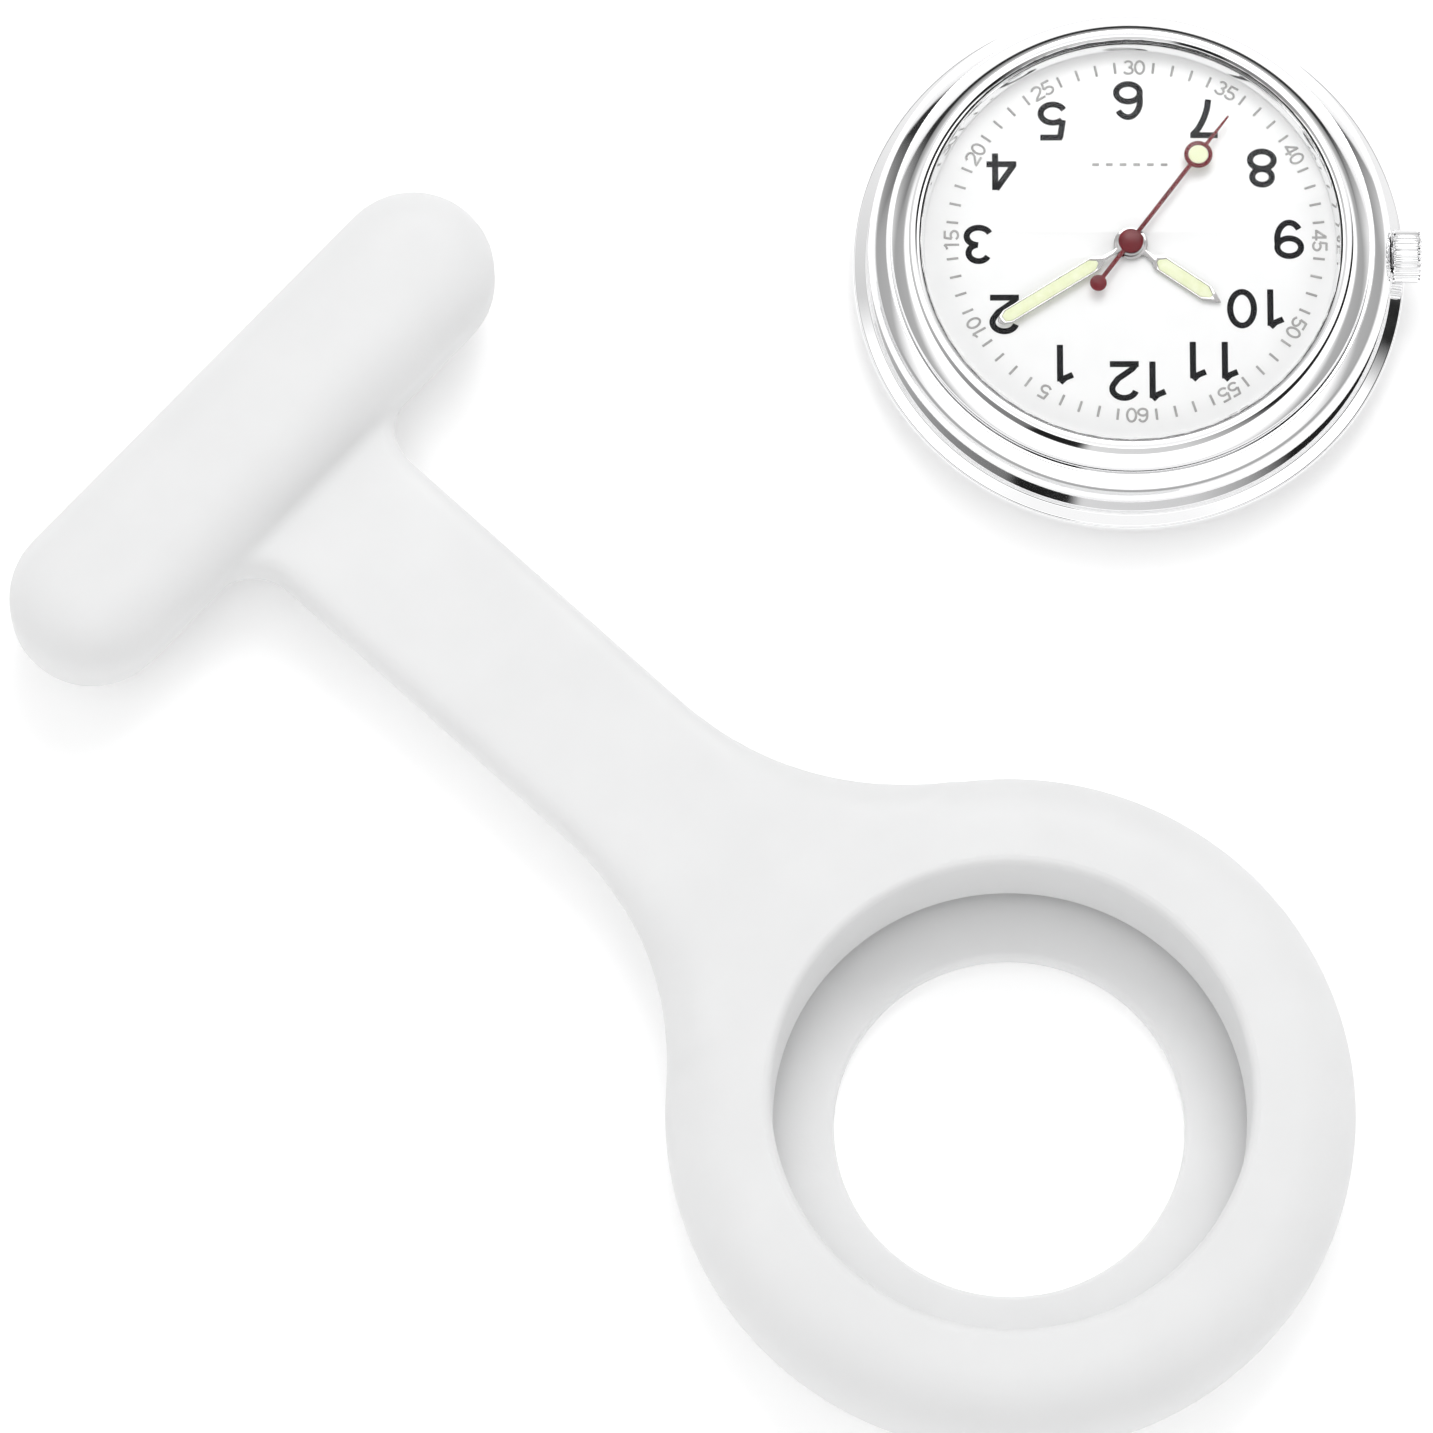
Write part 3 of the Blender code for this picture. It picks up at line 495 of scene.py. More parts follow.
VOXEL = 0.32
SMOOTHING = 8
STRAP_EDGE, STRAP_EDGE_GAIN = 1.25, 2.6  # rounding of the upper edges, and how much more it is at the ring
STRAP_LOW_EDGE, STRAP_LOW_EDGE_GAIN = 1.1, 1.6


def eased(value, start, end):
    share = min(1.0, max(0.0, (value - start) / (end - start)))
    return share * share * (3 - 2 * share)


def ring_solid():
    side, tighter = RING_SIDE, 0.6  # the lower edge is rounded less
    outside = arc(side, 90, 0, 16, (RING_R - side, RING_TOP - side))
    under = arc(side - tighter, 0, -90, 14, (RING_R - side + tighter, side - tighter))
    return lathe("ring", [(0, RING_TOP), *outside, *under, (0, 0)])


def strap_half_width(y):
    """The strap's half width: the fillet from the ring, the straight part, and the fillet into the bar."""
    flare_x = STRAP_HALF + STRAP_FLARE_R
    flare_y = math.sqrt((RING_R + STRAP_FLARE_R) ** 2 - flare_x**2)
    tangent_y = RING_R * flare_y / (RING_R + STRAP_FLARE_R)
    root_y = BAR_Y - BAR_HALF_WIDTH
    narrowing = 0.12  # of the buried end, for each millimetre into the ring
    if y <= tangent_y:
        return math.sqrt(RING_R**2 - tangent_y**2) - narrowing * (tangent_y - y)
    if y < flare_y:
        return flare_x - math.sqrt(STRAP_FLARE_R**2 - (flare_y - y) ** 2)
    rise = max(0.0, y - (root_y - STRAP_ROOT_R))
    rise = min(rise, STRAP_ROOT_R * 0.98)
    return STRAP_HALF + STRAP_ROOT_R - math.sqrt(STRAP_ROOT_R**2 - rise**2)


def strap_section(y):
    """A rounded section across the strap: thick where it leaves the ring, thin along the strap."""
    half = strap_half_width(y)
    near_ring = 1 - eased(y, RING_R - 4.0, RING_R + 9.0)
    top = STRAP_HIGH + (RING_TOP - 0.05 - STRAP_HIGH) * near_ring
    edge = STRAP_EDGE + STRAP_EDGE_GAIN * near_ring
    low_edge = STRAP_LOW_EDGE + STRAP_LOW_EDGE_GAIN * near_ring
    corners = [
        *arc(edge, 0, 90, 8, (half - edge, top - edge)),
        *arc(edge, 90, 180, 8, (edge - half, top - edge)),
        *arc(low_edge, 180, 270, 6, (low_edge - half, STRAP_LOW + low_edge)),
        *arc(low_edge, 270, 360, 6, (half - low_edge, STRAP_LOW + low_edge)),
    ]
    return [(x, y, z) for x, z in corners]


def strap_solid():
    start, end, rows = RING_R - 8.0, BAR_Y - 2.0, 90  # both ends are buried
    rings = [strap_section(start + (end - start) * i / rows) for i in range(rows + 1)]
    return loft("strap", rings)


def bar_solid():
    """The brooch bar: a capsule in plan, with a crowned top and softer lower edges."""
    more_run, more_width = 0.2, 0.15  # than the CAD bar, at each end of its straight run and on each side
    half_run = BAR_HALF - BAR_HALF_WIDTH + more_run
    width = BAR_HALF_WIDTH + more_width
    top_edge, low_edge, squeeze = 3.6, 1.6, 0.9
    profile = arc(top_edge, 90, 0, 12, (width - top_edge, BAR_HIGH - top_edge * squeeze), squeeze)
    profile += arc(low_edge, 0, -90, 8, (width - low_edge, BAR_LOW + low_edge))
    rings = []
    for r, z in profile:
        shape = arc(r, -90, 90, 24, (half_run, BAR_Y)) + arc(r, 90, 270, 24, (-half_run, BAR_Y))
        rings.append([(x, y, z) for x, y in shape])
    rings.reverse()
    return loft("bar", rings)


def pocket_cutter():
    """The pocket's cutter: a rounded mouth, a deep wall, the flange's groove and the hole in the floor."""
    lip, corner = 0.55, 0.25
    above, below = RING_TOP + 2, -1
    clear_r, foot_r = LIP_R + lip + 0.4, HOLE_R + 0.35
    mouth = arc(lip, 100, 180, 8, (LIP_R + lip, RING_TOP - lip))
    profile = [
        (0, above),
        (clear_r, above),
        (clear_r, RING_TOP + 0.3),
        *mouth,
        *rounded(
            [
                (LIP_R, RING_TOP - lip - 0.01, 0),
                (WALL_FOOT_R, GROOVE_TOP, corner),
                (GROOVE_R, GROOVE_TOP, corner),
                (GROOVE_R, POCKET_FLOOR, corner),
                (HOLE_R, POCKET_FLOOR, 0.30),
                (HOLE_R, 0.35, 0.0),
            ]
        ),
        (foot_r, -0.05),
        (foot_r, below),
        (0, below),
    ]
    return lathe("pocket", profile)


def strip_cutter():
    """A block that cuts the recess of the brooch strip into the bar's back."""
    low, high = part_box("brooch_strip")
    clear, depth, tall = 0.3, 0.5, 2.0
    size = (high - low) / MM + Vector((2 * clear, 2 * clear, 0))
    work = bmesh.new()
    bmesh.ops.create_cube(work, size=1)
    bmesh.ops.scale(work, vec=(size.x, size.y, tall), verts=work.verts)
    centre = ((low + high) / 2 - RING_AT) / MM
    bmesh.ops.translate(work, vec=(centre.x, centre.y, BAR_LOW + depth - tall / 2), verts=work.verts)
    mesh = bpy.data.meshes.new("strip")
    work.to_mesh(mesh)
    work.free()
    return mesh


def silicone_holder():
    """Ring, strap and bar as one soft moulding."""
    body = evaluated(
        joined([ring_solid(), strap_solid(), bar_solid()]),
        ("REMESH", {"mode": "VOXEL", "voxel_size": VOXEL, "use_smooth_shade": True}),
        ("SMOOTH", {"factor": 0.5, "iterations": SMOOTHING}),
    )
    body = combined(body, pocket_cutter(), "DIFFERENCE")
    body = combined(body, strip_cutter(), "DIFFERENCE")
    holder = show("silicone_holder", body, RING_PLACE, SILICONE, sharp=50)
    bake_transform(holder)
    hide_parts("silicone_ring", "silicone_strap", "silicone_bar")


# ---- the watch's case ----

CHAMFER = 38  # slope of the case's shoulder and of the bezel, in degrees
BEZEL_SEAT_R, BEZEL_SEAT = BEZEL_R + 0.06, 5.75
CHAMBER_R, LEDGE_R, BACK_SEAT_R = 13.55, 12.6, 13.4  # inside the case, from the top down
LEDGE_TOP, LEDGE_LOW = 3.15, 2.75


def case_section():
    """The case's section: a shoulder that rounds into an upright wall, the flange, then the seats inside."""
    shoulder = sloped((0, CASE_TOP), [(0.05, 10, CHAMFER), (0.70, CHAMFER, CHAMFER), (1.2, CHAMFER, 90)])
    shift = CASE_R - shoulder[-1][0]
    shoulder = [(x + shift, z) for x, z in shoulder]
    wall_and_seats = [
        (CASE_R, shoulder[-1][1] - 0.05, 0),
        (CASE_R, 2.42, 0.2),
        (FLANGE_R, 2.2, 0.2),
        (FLANGE_R, FLANGE_LOW, 0.22),
        (BACK_SEAT_R, FLANGE_LOW, 0),
        (BACK_SEAT_R, LEDGE_LOW, 0),
        (LEDGE_R, LEDGE_LOW, 0),
        (LEDGE_R, LEDGE_TOP, 0),
        (CHAMBER_R, LEDGE_TOP, 0),
        (CHAMBER_R, BEZEL_SEAT, 0),
    ]
    return [
        (BEZEL_SEAT_R, BEZEL_SEAT),
        (BEZEL_SEAT_R, CASE_TOP - 0.05),
        *shoulder,
        *rounded(wall_and_seats, 8),
    ]


def bezel_section():
    """The bezel's section: it rises from the opening, rolls over and falls away to a short upright side."""
    inner_low, inner_r, foot = 7.0, 13.15, 5.8
    slope = sloped(
        (OPENING_R + 0.02, 7.18),
        [(0.08, -32, -32), (0.62, -32, 28), (0.46, 28, CHAMFER), (0.70, CHAMFER, CHAMFER)],
    )
    side = [
        (slope[-1][0] + 0.02, slope[-1][1] - 0.02, 0),
        (BEZEL_R, 6.3, 0.04),
        (BEZEL_R, foot, 0.05),
        (inner_r, foot, 0.05),
        (inner_r, 6.95, 0),
    ]
    return [(13.05, inner_low), (OPENING_R, inner_low), *slope, *rounded(side, 8)]


def crystal_section():
    """The crystal's section: slightly domed above and flat beneath."""
    steps, sag = 40, 0.42
    dome = [(CRYSTAL_R * i / steps, CRYSTAL_TOP - sag * (i / steps) ** 2) for i in range(steps)]
    edge = [
        (*dome[-1], 0),
        (CRYSTAL_R, CRYSTAL_TOP - 0.43, 0.12),
        (CRYSTAL_R, CRYSTAL_LOW, 0.08),
        (CRYSTAL_R - 1.0, CRYSTAL_LOW, 0),
    ]
    return [*dome, *rounded(edge)[1:], (0, CRYSTAL_LOW)]


def rehaut_section():
    """The inner ring's section: upright on the dial, then opening out under the bezel."""
    top, foot = 6.44, DIAL_TOP + 0.002
    corners = [
        (DIAL_R, top, 0),
        (DIAL_R, foot, 0.03),
        (REHAUT_R, foot, 0.03),
        (REHAUT_R, 6.1, 0.05),
        (12.52, top, 0.05),
        (DIAL_R - 0.1, top, 0),
    ]
    return rounded(corners, 3)


def case():
    tube_bore = bore_along_x(radius=0.78, half_length=3, x=-15, z=STEM_Z)
    body = combined(lathe("case", case_section()), tube_bore, "DIFFERENCE")
    fit(show("watch_case", body, WATCH_PLACE, CHROME), "watch", "chrome", "case_body")
    bezel = lathe("bezel", bezel_section())
    fit(show("watch_bezel", bezel, WATCH_PLACE, CHROME), "watch", "chrome", "bezel")
    glass = lathe("crystal", crystal_section())
    fit(show("watch_crystal", glass, WATCH_PLACE, GLASS), "watch", "crystal", "crystal")
    rehaut = lathe("rehaut", rehaut_section())
    fit(show("watch_rehaut", rehaut, WATCH_PLACE, CHROME), "watch", "chrome", "rehaut_ring")


# ---- the crown ----

CROWN_R, FLUTES, FLUTE_DEPTH, FLUTE_CUT = 1.53, 24, 0.07, 0.6
CROWN_ANGLES = [math.tau * i / 240 for i in range(240)]
CROWN_GRIP = [(15.75, 0.90), (15.80, 0.96), (15.95, 1.0), (17.2, 1.0), (17.36, 0.96), (17.42, 0.90)]
CROWN_DOME = [(17.46, 1.30), (17.53, 1.05), (17.58, 0.6), (17.6, 0.2)]


def crown_ring(x, radii):
    """Points round the crown at a distance from the watch's middle, with a radius for each angle."""
    return [(-x, r * math.cos(a), r * math.sin(a)) for r, a in zip(radii, CROWN_ANGLES)]


def fluted(angle):
    """The grip's radius at an angle: a wave whose crests and troughs are cut flat."""
    wave = max(-FLUTE_CUT, min(FLUTE_CUT, math.cos(FLUTES * angle) * 1.4))
    return CROWN_R + FLUTE_DEPTH * wave / FLUTE_CUT


def crown():
    """A fluted crown with a domed end, bored for its tube and its stem."""
    rings = [crown_ring(x, [fluted(a) * share for a in CROWN_ANGLES]) for x, share in CROWN_GRIP]
    rings += [crown_ring(x, [radius] * len(CROWN_ANGLES)) for x, radius in CROWN_DOME]
    rings.reverse()
    tube_bore = bore_along_x(radius=0.98, half_length=0.6, x=-16.3, steps=48)
    stem_bore = bore_along_x(radius=0.34, half_length=0.5, x=-16.81, steps=24)
    body = combined(loft("crown", rings), tube_bore, "DIFFERENCE")
    body = combined(body, stem_bore, "DIFFERENCE")
    place = WATCH_PLACE @ Matrix.Translation((0, 0, STEM_Z * MM))
    fit(show("watch_crown", body, place, CHROME), "winder", "chrome", "crown")


# ---- the dial ----

DIGIT_STROKE = 0.152  # of a digit's height
DIGIT_WIDTH = 1.24
HOUR_PLACES = {  # millimetres from the dial's middle, towards 3 o'clock and towards 12
    1: (4.06, 7.53),
    2: (7.57, 4.39),
    3: (9.08, -0.03),
    4: (7.70, -4.58),
    5: (4.59, -7.87),
    6: (0.04, -9.16),
    7: (-4.49, -8.01),
    8: (-7.90, -4.87),
    9: (-9.44, -0.36),
    10: (-7.56, 4.03),
    11: (-4.81, 7.34),
    12: (-0.49, 8.58),
}
PRINT_THICKNESS = 0.012
HOUR_HEIGHT, HOUR_SPACING = 2.44, 0.78  # spacing is a share of the height
MINUTE_HEIGHT, MINUTE_SPACING = 0.92, 0.74
TRACK_R, TICK_HALF, TICK_WIDTH = 11.0, 0.35, 0.15
TRACK_SHIFT = (-0.3, -0.28)
DASHES, DASH_PITCH, DASH_HALF, DASH_WIDTH, DASH_Y = 6, 0.82, 0.2, 0.18, -5.08


def digit_strokes(digit):
    """Strokes of a plain digit, one unit tall and centred: each is its points, and whether it closes."""
    shapes = {
        "0": [(arc(0.235, 0, 360, 32, (0, 0.5), 1.85)[:-1], True)],
        "1": [([(0.07, 0), (0.07, 0.94)], False), ([(0.07, 0.97), (-0.03, 0.85), (-0.18, 0.77)], False)],
        "2": [
            (
                arc(0.235, 165, -25, 16, (0, 0.70), 1.0)
                + [(0.12, 0.44), (-0.03, 0.31), (-0.17, 0.18), (-0.225, 0.08)],
                False,
            ),
            ([(-0.29, 0.065), (0.28, 0.065)], False),
        ],
        "3": [
            (arc(0.20, 155, -75, 16, (0, 0.72), 1.06), False),
            (arc(0.235, 88, -158, 20, (0, 0.29), 0.96), False),
        ],
        "4": [
            ([(0.12, 0), (0.12, 0.95)], False),
            ([(0.10, 0.93), (-0.25, 0.295)], False),
            ([(-0.30, 0.28), (0.29, 0.28)], False),
        ],
        "5": [
            ([(0.25, 0.935), (-0.18, 0.935)], False),
            ([(-0.14, 0.95), (-0.20, 0.48)], False),
            (arc(0.24, 138, -155, 20, (0, 0.31), 1.0), False),
        ],
        "6": [
            (arc(0.235, 0, 360, 28, (0.01, 0.295), 0.98)[:-1], True),
            (arc(0.24, 38, 196, 18, (0.015, 0.50), 1.80), False),
        ],
        "7": [
            ([(-0.26, 0.93), (0.28, 0.93)], False),
            ([(0.24, 0.93), (0.12, 0.76), (0.02, 0.52), (-0.05, 0.26), (-0.08, 0)], False),
        ],
        "8": [
            (arc(0.195, 0, 360, 24, (0, 0.73), 1.04)[:-1], True),
            (arc(0.235, 0, 360, 28, (0, 0.29), 0.96)[:-1], True),
        ],
    }
    shapes["9"] = [([(-x, 1 - y) for x, y in line], closed) for line, closed in shapes["6"]]
    return shapes[digit]


def print_strokes(name, strokes, look, z):
    """Printed lines on the dial: each stroke is (points, closes, width)."""
    meshes = []
    for width in sorted({w for _, _, w in strokes}):
        curve = bpy.data.curves.new(name, "CURVE")
        curve.dimensions = "3D"
        curve.bevel_depth = width / 2
        curve.bevel_resolution = 2
        curve.use_fill_caps = True
        for points, closes, _ in (s for s in strokes if s[2] == width):
            spline = curve.splines.new("POLY")
            spline.points.add(len(points) - 1)
            for point, (x, y) in zip(spline.points, points):
                point.co = (x, y, 0, 1)
            spline.use_cyclic_u = closes
        mesh = evaluated(curve)
        mesh.transform(Matrix.Diagonal((1, 1, PRINT_THICKNESS / width * 2, 1)))
        meshes.append(mesh)
    mesh = joined(meshes)
    mesh.transform(Matrix.Translation((0, 0, z)))
    fit(show(name, mesh, WATCH_PLACE, look, sharp=60), "watch", "dial_white")


def number(text, height, spacing, centre, turn=0.0):
    """Strokes of a number about a point, turned clockwise in degrees."""
    spin = Matrix.Rotation(math.radians(-turn), 2)
    strokes = []
    for i, digit in enumerate(text):
        shift = (i - (len(text) - 1) / 2) * spacing
        for line, closes in digit_strokes(digit):
            sized = [((x * DIGIT_WIDTH + shift) * height, (y - 0.5) * height) for x, y in line]
            turned = [spin @ Vector(point) for point in sized]
            placed = [(point.x + centre[0], point.y + centre[1]) for point in turned]
            strokes.append((placed, closes, height * DIGIT_STROKE))
    return strokes


def on_dial(radius, clockwise):
    """A place on the minute track, which is printed a little off the dial's middle."""
    angle = math.radians(90 - clockwise)
    return radius * math.cos(angle) + TRACK_SHIFT[0], radius * math.sin(angle) + TRACK_SHIFT[1]


def dial():
    """The dial's plate with its printed hour numbers, its minute track and a short row of dashes."""
    hole_r, thickness = 0.7, 0.4
    plate = flat([circle(DIAL_R, ROUND), circle(hole_r)], DIAL_TOP - thickness, DIAL_TOP, 0.02)
    fit(show("watch_dial", plate, WATCH_PLACE, DIAL_WHITE), "watch", "dial_white", "dial")

    hours = []
    for hour, place in HOUR_PLACES.items():
        hours += number(str(hour), HOUR_HEIGHT, HOUR_SPACING, place)
    print_strokes("dial_numbers", hours, INK, DIAL_TOP + PRINT_THICKNESS)

    track = []
    for minute in range(1, 61):
        angle = minute * 6
        if minute % 5 == 0:
            track += number(str(minute), MINUTE_HEIGHT, MINUTE_SPACING, on_dial(TRACK_R, angle), angle)
        else:
            tick = [on_dial(TRACK_R - TICK_HALF, angle), on_dial(TRACK_R + TICK_HALF, angle)]
            track.append((tick, False, TICK_WIDTH))
    for i in range(DASHES):
        x = DASH_PITCH * (i - (DASHES - 1) / 2)
        track.append(([(x - DASH_HALF, DASH_Y), (x + DASH_HALF, DASH_Y)], False, DASH_WIDTH))
    print_strokes("dial_track", track, PALE_INK, DIAL_TOP + PRINT_THICKNESS)


# ---- the hands ----


def blade_outline(hub, blade):
    """A hand's outline: a round hub, then a blade through (distance, half width) points, both sides alike."""
    start = math.degrees(math.acos(blade[0][1] / hub))
    side = arc(hub, -90, start, 24) + [(width, y) for y, width in blade[1:]]
    return side + [(-x, y) for x, y in reversed(side) if x > 1e-6]


def baton(name, hub, hole, blade, window, angle, layer, body):
    """A polished hand whose slot holds a strip of luminous paint."""
    low, high = layer
    slot = [(w, y) for y, w in window] + [(-w, y) for y, w in reversed(window) if w > 0]
    metal = flat([blade_outline(hub, blade), circle(hole), slot], low, high, 0.025)
    turn_about_z(metal, -angle)
    fit(show(name, metal, WATCH_PLACE, HAND_METAL), body, "chrome", name)
    centre = (window[0][0] + window[-1][0]) / 2
    paint = flat([[(x * 0.97, centre + (y - centre) * 0.99) for x, y in slot]], low, high + 0.02, 0.03)
    turn_about_z(paint, -angle)
    fit(show(name + "_paint", paint, WATCH_PLACE, LUME), body, "lume", name + "_lume")


def second_hand():
    """A needle with a luminous ring near its point, a round counterweight and a glossy centre cap."""
    low, high = SECOND_Z
    tail, ring_y, length, half, tip_half = 3.3, 6.85, 9.9, 0.13, 0.06
    weight_r, hub_r, ring_r, hole_r, pivot_r, edge = 0.5, 0.55, 0.85, 0.60, 0.14, 0.02
    side = [(half, -tail), (half, ring_y), (tip_half, length)]
    body = flat([side + [(-x, y) for x, y in reversed(side)]], low, high, edge)
    for radius, y in ((weight_r, -tail), (hub_r, 0), (ring_r, ring_y)):
        body = combined(body, flat([circle(radius, 64, (0, y))], low, high, edge), "UNION")
    for hole in (circle(pivot_r, 24), circle(hole_r, 64, (0, ring_y))):
        body = combined(body, flat([hole], low - 1, high + 1), "DIFFERENCE")
    turn_about_z(body, -SECOND_ANGLE)
    fit(show("second_hand_needle", body, WATCH_PLACE, RED), "seconds", "hand_red", "second_hand")
    lume = flat([circle(hole_r - 0.02, 64, (0, ring_y))], low, high + 0.01, 0.03)
    turn_about_z(lume, -SECOND_ANGLE)
    fit(show("second_hand_paint", lume, WATCH_PLACE, LUME), "seconds", "lume", "second_hand_lume")
    cap_r, cap_rise, cap_z, cap_foot = 0.75, 0.13, 6.60, 6.59
    angles = [math.radians(degrees) for degrees in range(0, 91, 6)]
    dome = [(cap_r * math.sin(a), cap_z + cap_rise * math.cos(a)) for a in angles]
    cap = lathe("cap", [*dome, (cap_r, cap_foot), (0, cap_foot)], 64)
    fit(show("second_hand_boss", cap, WATCH_PLACE, RED), "seconds", "hand_red", "second_hand_cap")


def hands():
    """Each baton has its hub's and hole's radius, then its blade and its slot as (distance, half width)."""
    baton(
        "hour_hand", 1.0, 0.6,
        [(0, 0.17), (1.6, 0.17), (2.1, 0.50), (5.5, 0.50), (6.5, 0.03)],
        [(1.95, 0.10), (2.3, 0.41), (5.35, 0.41), (5.85, 0.12)],
        HOUR_ANGLE, HOUR_Z, "hours",
    )
    baton(
        "minute_hand", 0.85, 0.37,
        [(0, 0.15), (1.9, 0.15), (2.5, 0.47), (8.75, 0.47), (9.2, 0.30), (9.4, 0.06)],
        [(2.35, 0.10), (2.75, 0.38), (8.7, 0.38), (9.05, 0.20)],
        MINUTE_ANGLE, MINUTE_Z, "minutes",
    )
    second_hand()


# ---- the case back ----


def case_back():
    """The pressed back: a dish that stands on the table, with a rim that plugs into the case."""
    dish_r, dish_floor, wall_r = 9.2, 0.5, 9.8
    rim_r, rim_low, rim_top = 13.3, 1.45, 2.15
    profile = [
        (0, dish_floor, 0),
        (dish_r, dish_floor, 0.1),
        (dish_r, rim_top, 0.1),
        (rim_r, rim_top, 0.12),
        (rim_r, rim_low, 0.12),
        (wall_r, rim_low, 0.1),
        (wall_r, 0.0, 0.25),
        (0, 0, 0),
    ]
    back = lathe("back", rounded(profile))
    fit(show("watch_back", back, WATCH_PLACE, STEEL), "back", "steel", "case_back")


# ---- camera, floor and light ----

CAMERA_AZIMUTH, CAMERA_ELEVATION = -47.2, 72.6
CAMERA_DISTANCE = 0.8
CAMERA_LENS = 337
CAMERA_AIM = Vector((-0.01315, 0.00734, 0))

FLOOR_R, FLOOR_DROP, FLOOR_GLOW = 30000, 0.02, 0.22  # the glow keeps the floor white between the shadows
LIGHT_SIZE, LIGHT_POWER, LIGHT_DISTANCE = 0.42, 1.55, 0.75
LIGHT_AZIMUTH, LIGHT_ELEVATION = CAMERA_AZIMUTH + 172, 52
STUDIO_STRENGTH, BACKDROP = 1.52, 0.70

# Brightness of the studio that the polished metal mirrors: each stop is (place, brightness).
# Height is 0 at the floor and 1 overhead. Going round, 0.5 is the camera's side and 0 and 1 are the far side.
FAR_WALL = [
    (0.0, 0.7), (0.04, 0.6), (0.055, 0.02), (0.18, 0.02), (0.23, 0.2), (0.55, 0.5), (0.9, 0.9), (0.98, 0.66),
]
NEAR_WALL = [
    (0.0, 0.7), (0.1, 0.5), (0.18, 0.26), (0.33, 0.30), (0.44, 0.95), (0.93, 0.95), (0.98, 0.66),
]
NEAR_SIDE = [(0.12, 0.0), (0.19, 1.0), (0.81, 1.0), (0.88, 0.0)]
PANELS = [
    (0.0, 0.62), (0.08, 0.62), (0.17, 0.42), (0.33, 0.18), (0.39, 0.13), (0.40, 0.01), (0.45, 0.01),
    (0.462, 0.50), (0.56, 0.45), (0.61, 0.28), (0.64, 0.12), (0.66, 0.01), (0.83, 0.01), (0.86, 0.62),
]
PANEL_BAND = [(0.62, 0.0), (0.65, 1.0), (0.86, 1.0), (0.90, 0.0)]


def direction(azimuth, elevation):
    """From the object towards a viewer: azimuth 0 is from -Y."""
    a, e = math.radians(azimuth), math.radians(elevation)
    return Vector((math.sin(a) * math.cos(e), -math.cos(a) * math.cos(e), math.sin(e)))


def camera():
    data = bpy.data.cameras.new("camera")
    data.sensor_width = 36
    data.lens = CAMERA_LENS
    data.clip_start, data.clip_end = 0.01, 100
    obj = bpy.data.objects.new("camera", data)
    bpy.context.scene.collection.objects.link(obj)
    back = direction(CAMERA_AZIMUTH, CAMERA_ELEVATION)
    obj.location = CAMERA_AIM + back * CAMERA_DISTANCE
    obj.rotation_euler = back.to_track_quat("Z", "Y").to_euler()
    bpy.context.scene.camera = obj


def floor():
    look = painted("floor_white", (0.90, 0.90, 0.90), (0.91, 0.91, 0.91), (0.8, 0.9), 40.0, 0.01)
    sockets = look.node_tree.nodes["Principled BSDF"].inputs
    sockets["Emission Color"].default_value = (1, 1, 1, 1)
    sockets["Emission Strength"].default_value = FLOOR_GLOW
    disc = lathe("floor", [(0, 0), (FLOOR_R, 0), (FLOOR_R, -1), (0, -1)], 96)
    obj = show("floor", disc, Matrix.Translation((0, 0, -FLOOR_DROP * MM)), look)


def soft_box():
    data = bpy.data.lights.new("soft_box", "AREA")
    data.shape = "DISK"
    data.size = LIGHT_SIZE
    data.energy = LIGHT_POWER
    obj = bpy.data.objects.new("soft_box", data)
    bpy.context.scene.collection.objects.link(obj)
    towards = direction(LIGHT_AZIMUTH, LIGHT_ELEVATION)
    obj.location = CAMERA_AIM + towards * LIGHT_DISTANCE
    obj.rotation_euler = towards.to_track_quat("Z", "Y").to_euler()


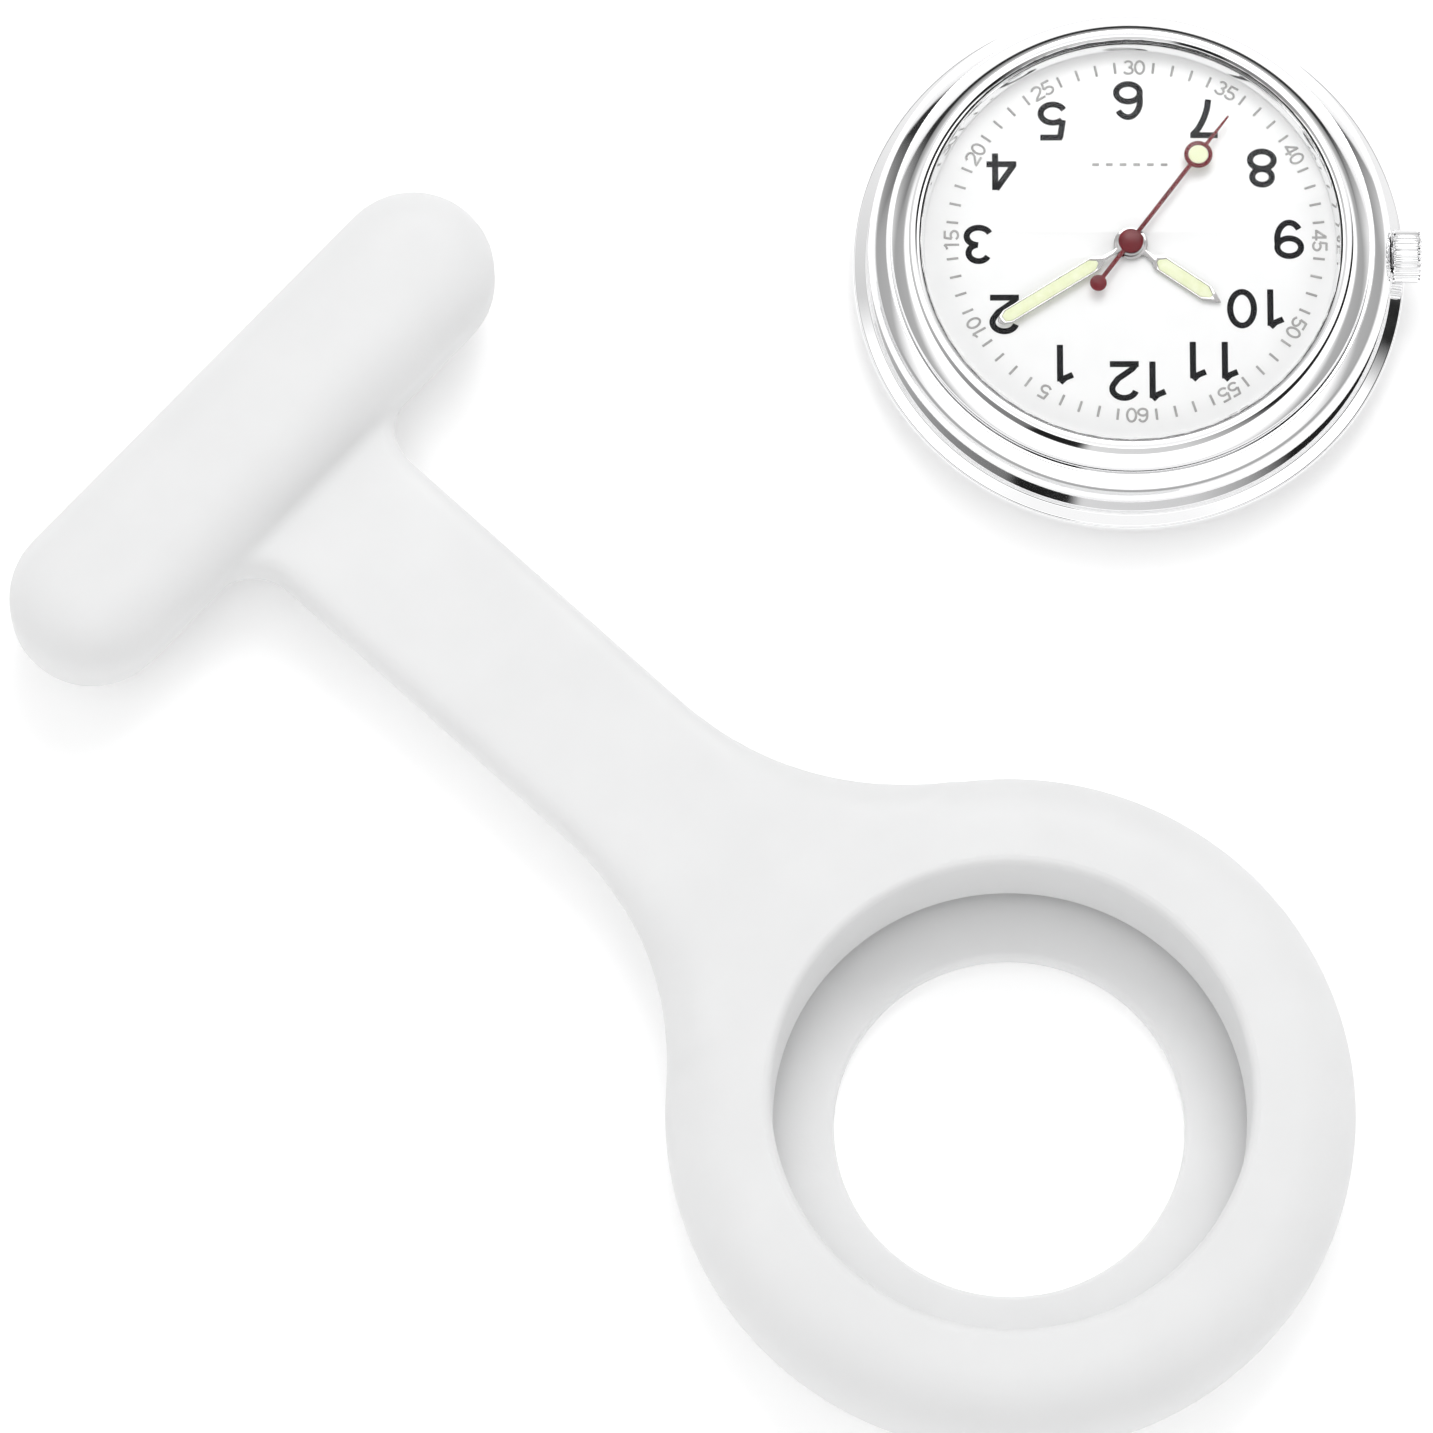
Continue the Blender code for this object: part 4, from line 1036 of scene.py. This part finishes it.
def studio():
    """Pale walls and ceiling with a dark skirting, a grey rail and dark panels, which the metal mirrors."""
    world = bpy.data.worlds.new("studio")
    bpy.context.scene.world = world
    world.use_nodes = True
    tree = world.node_tree
    background = tree.nodes["Background"]

    def node(kind, **settings):
        made = tree.nodes.new(kind)
        for name, value in settings.items():
            setattr(made, name, value)
        return made

    def mixed(share, first, second):
        made = node("ShaderNodeMix", data_type="RGBA")
        tree.links.new(share, made.inputs["Factor"])
        for socket, value in ((made.inputs[6], first), (made.inputs[7], second)):  # the colours A and B
            if isinstance(value, float):
                socket.default_value = (value, value, value, 1)
            else:
                tree.links.new(value, socket)
        return made.outputs[2]  # the mixed colour

    place = node("ShaderNodeTexCoord")
    turned = node("ShaderNodeMapping")
    turned.inputs["Rotation"].default_value[2] = math.radians(90 - CAMERA_AZIMUTH)
    tree.links.new(place.outputs["Generated"], turned.inputs["Vector"])
    parts = node("ShaderNodeSeparateXYZ")
    tree.links.new(turned.outputs["Vector"], parts.inputs[0])
    angle = node("ShaderNodeMath", operation="ARCTAN2")
    tree.links.new(parts.outputs["Y"], angle.inputs[0])
    tree.links.new(parts.outputs["X"], angle.inputs[1])
    around = node("ShaderNodeMath", operation="MULTIPLY_ADD")
    around.inputs[1].default_value = 1 / math.tau
    around.inputs[2].default_value = 0.5
    tree.links.new(angle.outputs[0], around.inputs[0])

    height, round_room = parts.outputs["Z"], around.outputs[0]
    near_side = colour_ramp(tree, round_room, NEAR_SIDE)
    walls = mixed(near_side, colour_ramp(tree, height, FAR_WALL), colour_ramp(tree, height, NEAR_WALL))
    seen = mixed(colour_ramp(tree, height, PANEL_BAND), walls, colour_ramp(tree, round_room, PANELS))
    path = node("ShaderNodeLightPath")
    plain = mixed(path.outputs["Is Camera Ray"], seen, BACKDROP)
    tree.links.new(plain, background.inputs["Color"])
    background.inputs["Strength"].default_value = STUDIO_STRENGTH
    bpy.context.scene.view_settings.view_transform = "Standard"


camera()
floor()
soft_box()
studio()
dress_cad_nodes()
silicone_holder()
case()
crown()
dial()
hands()
case_back()
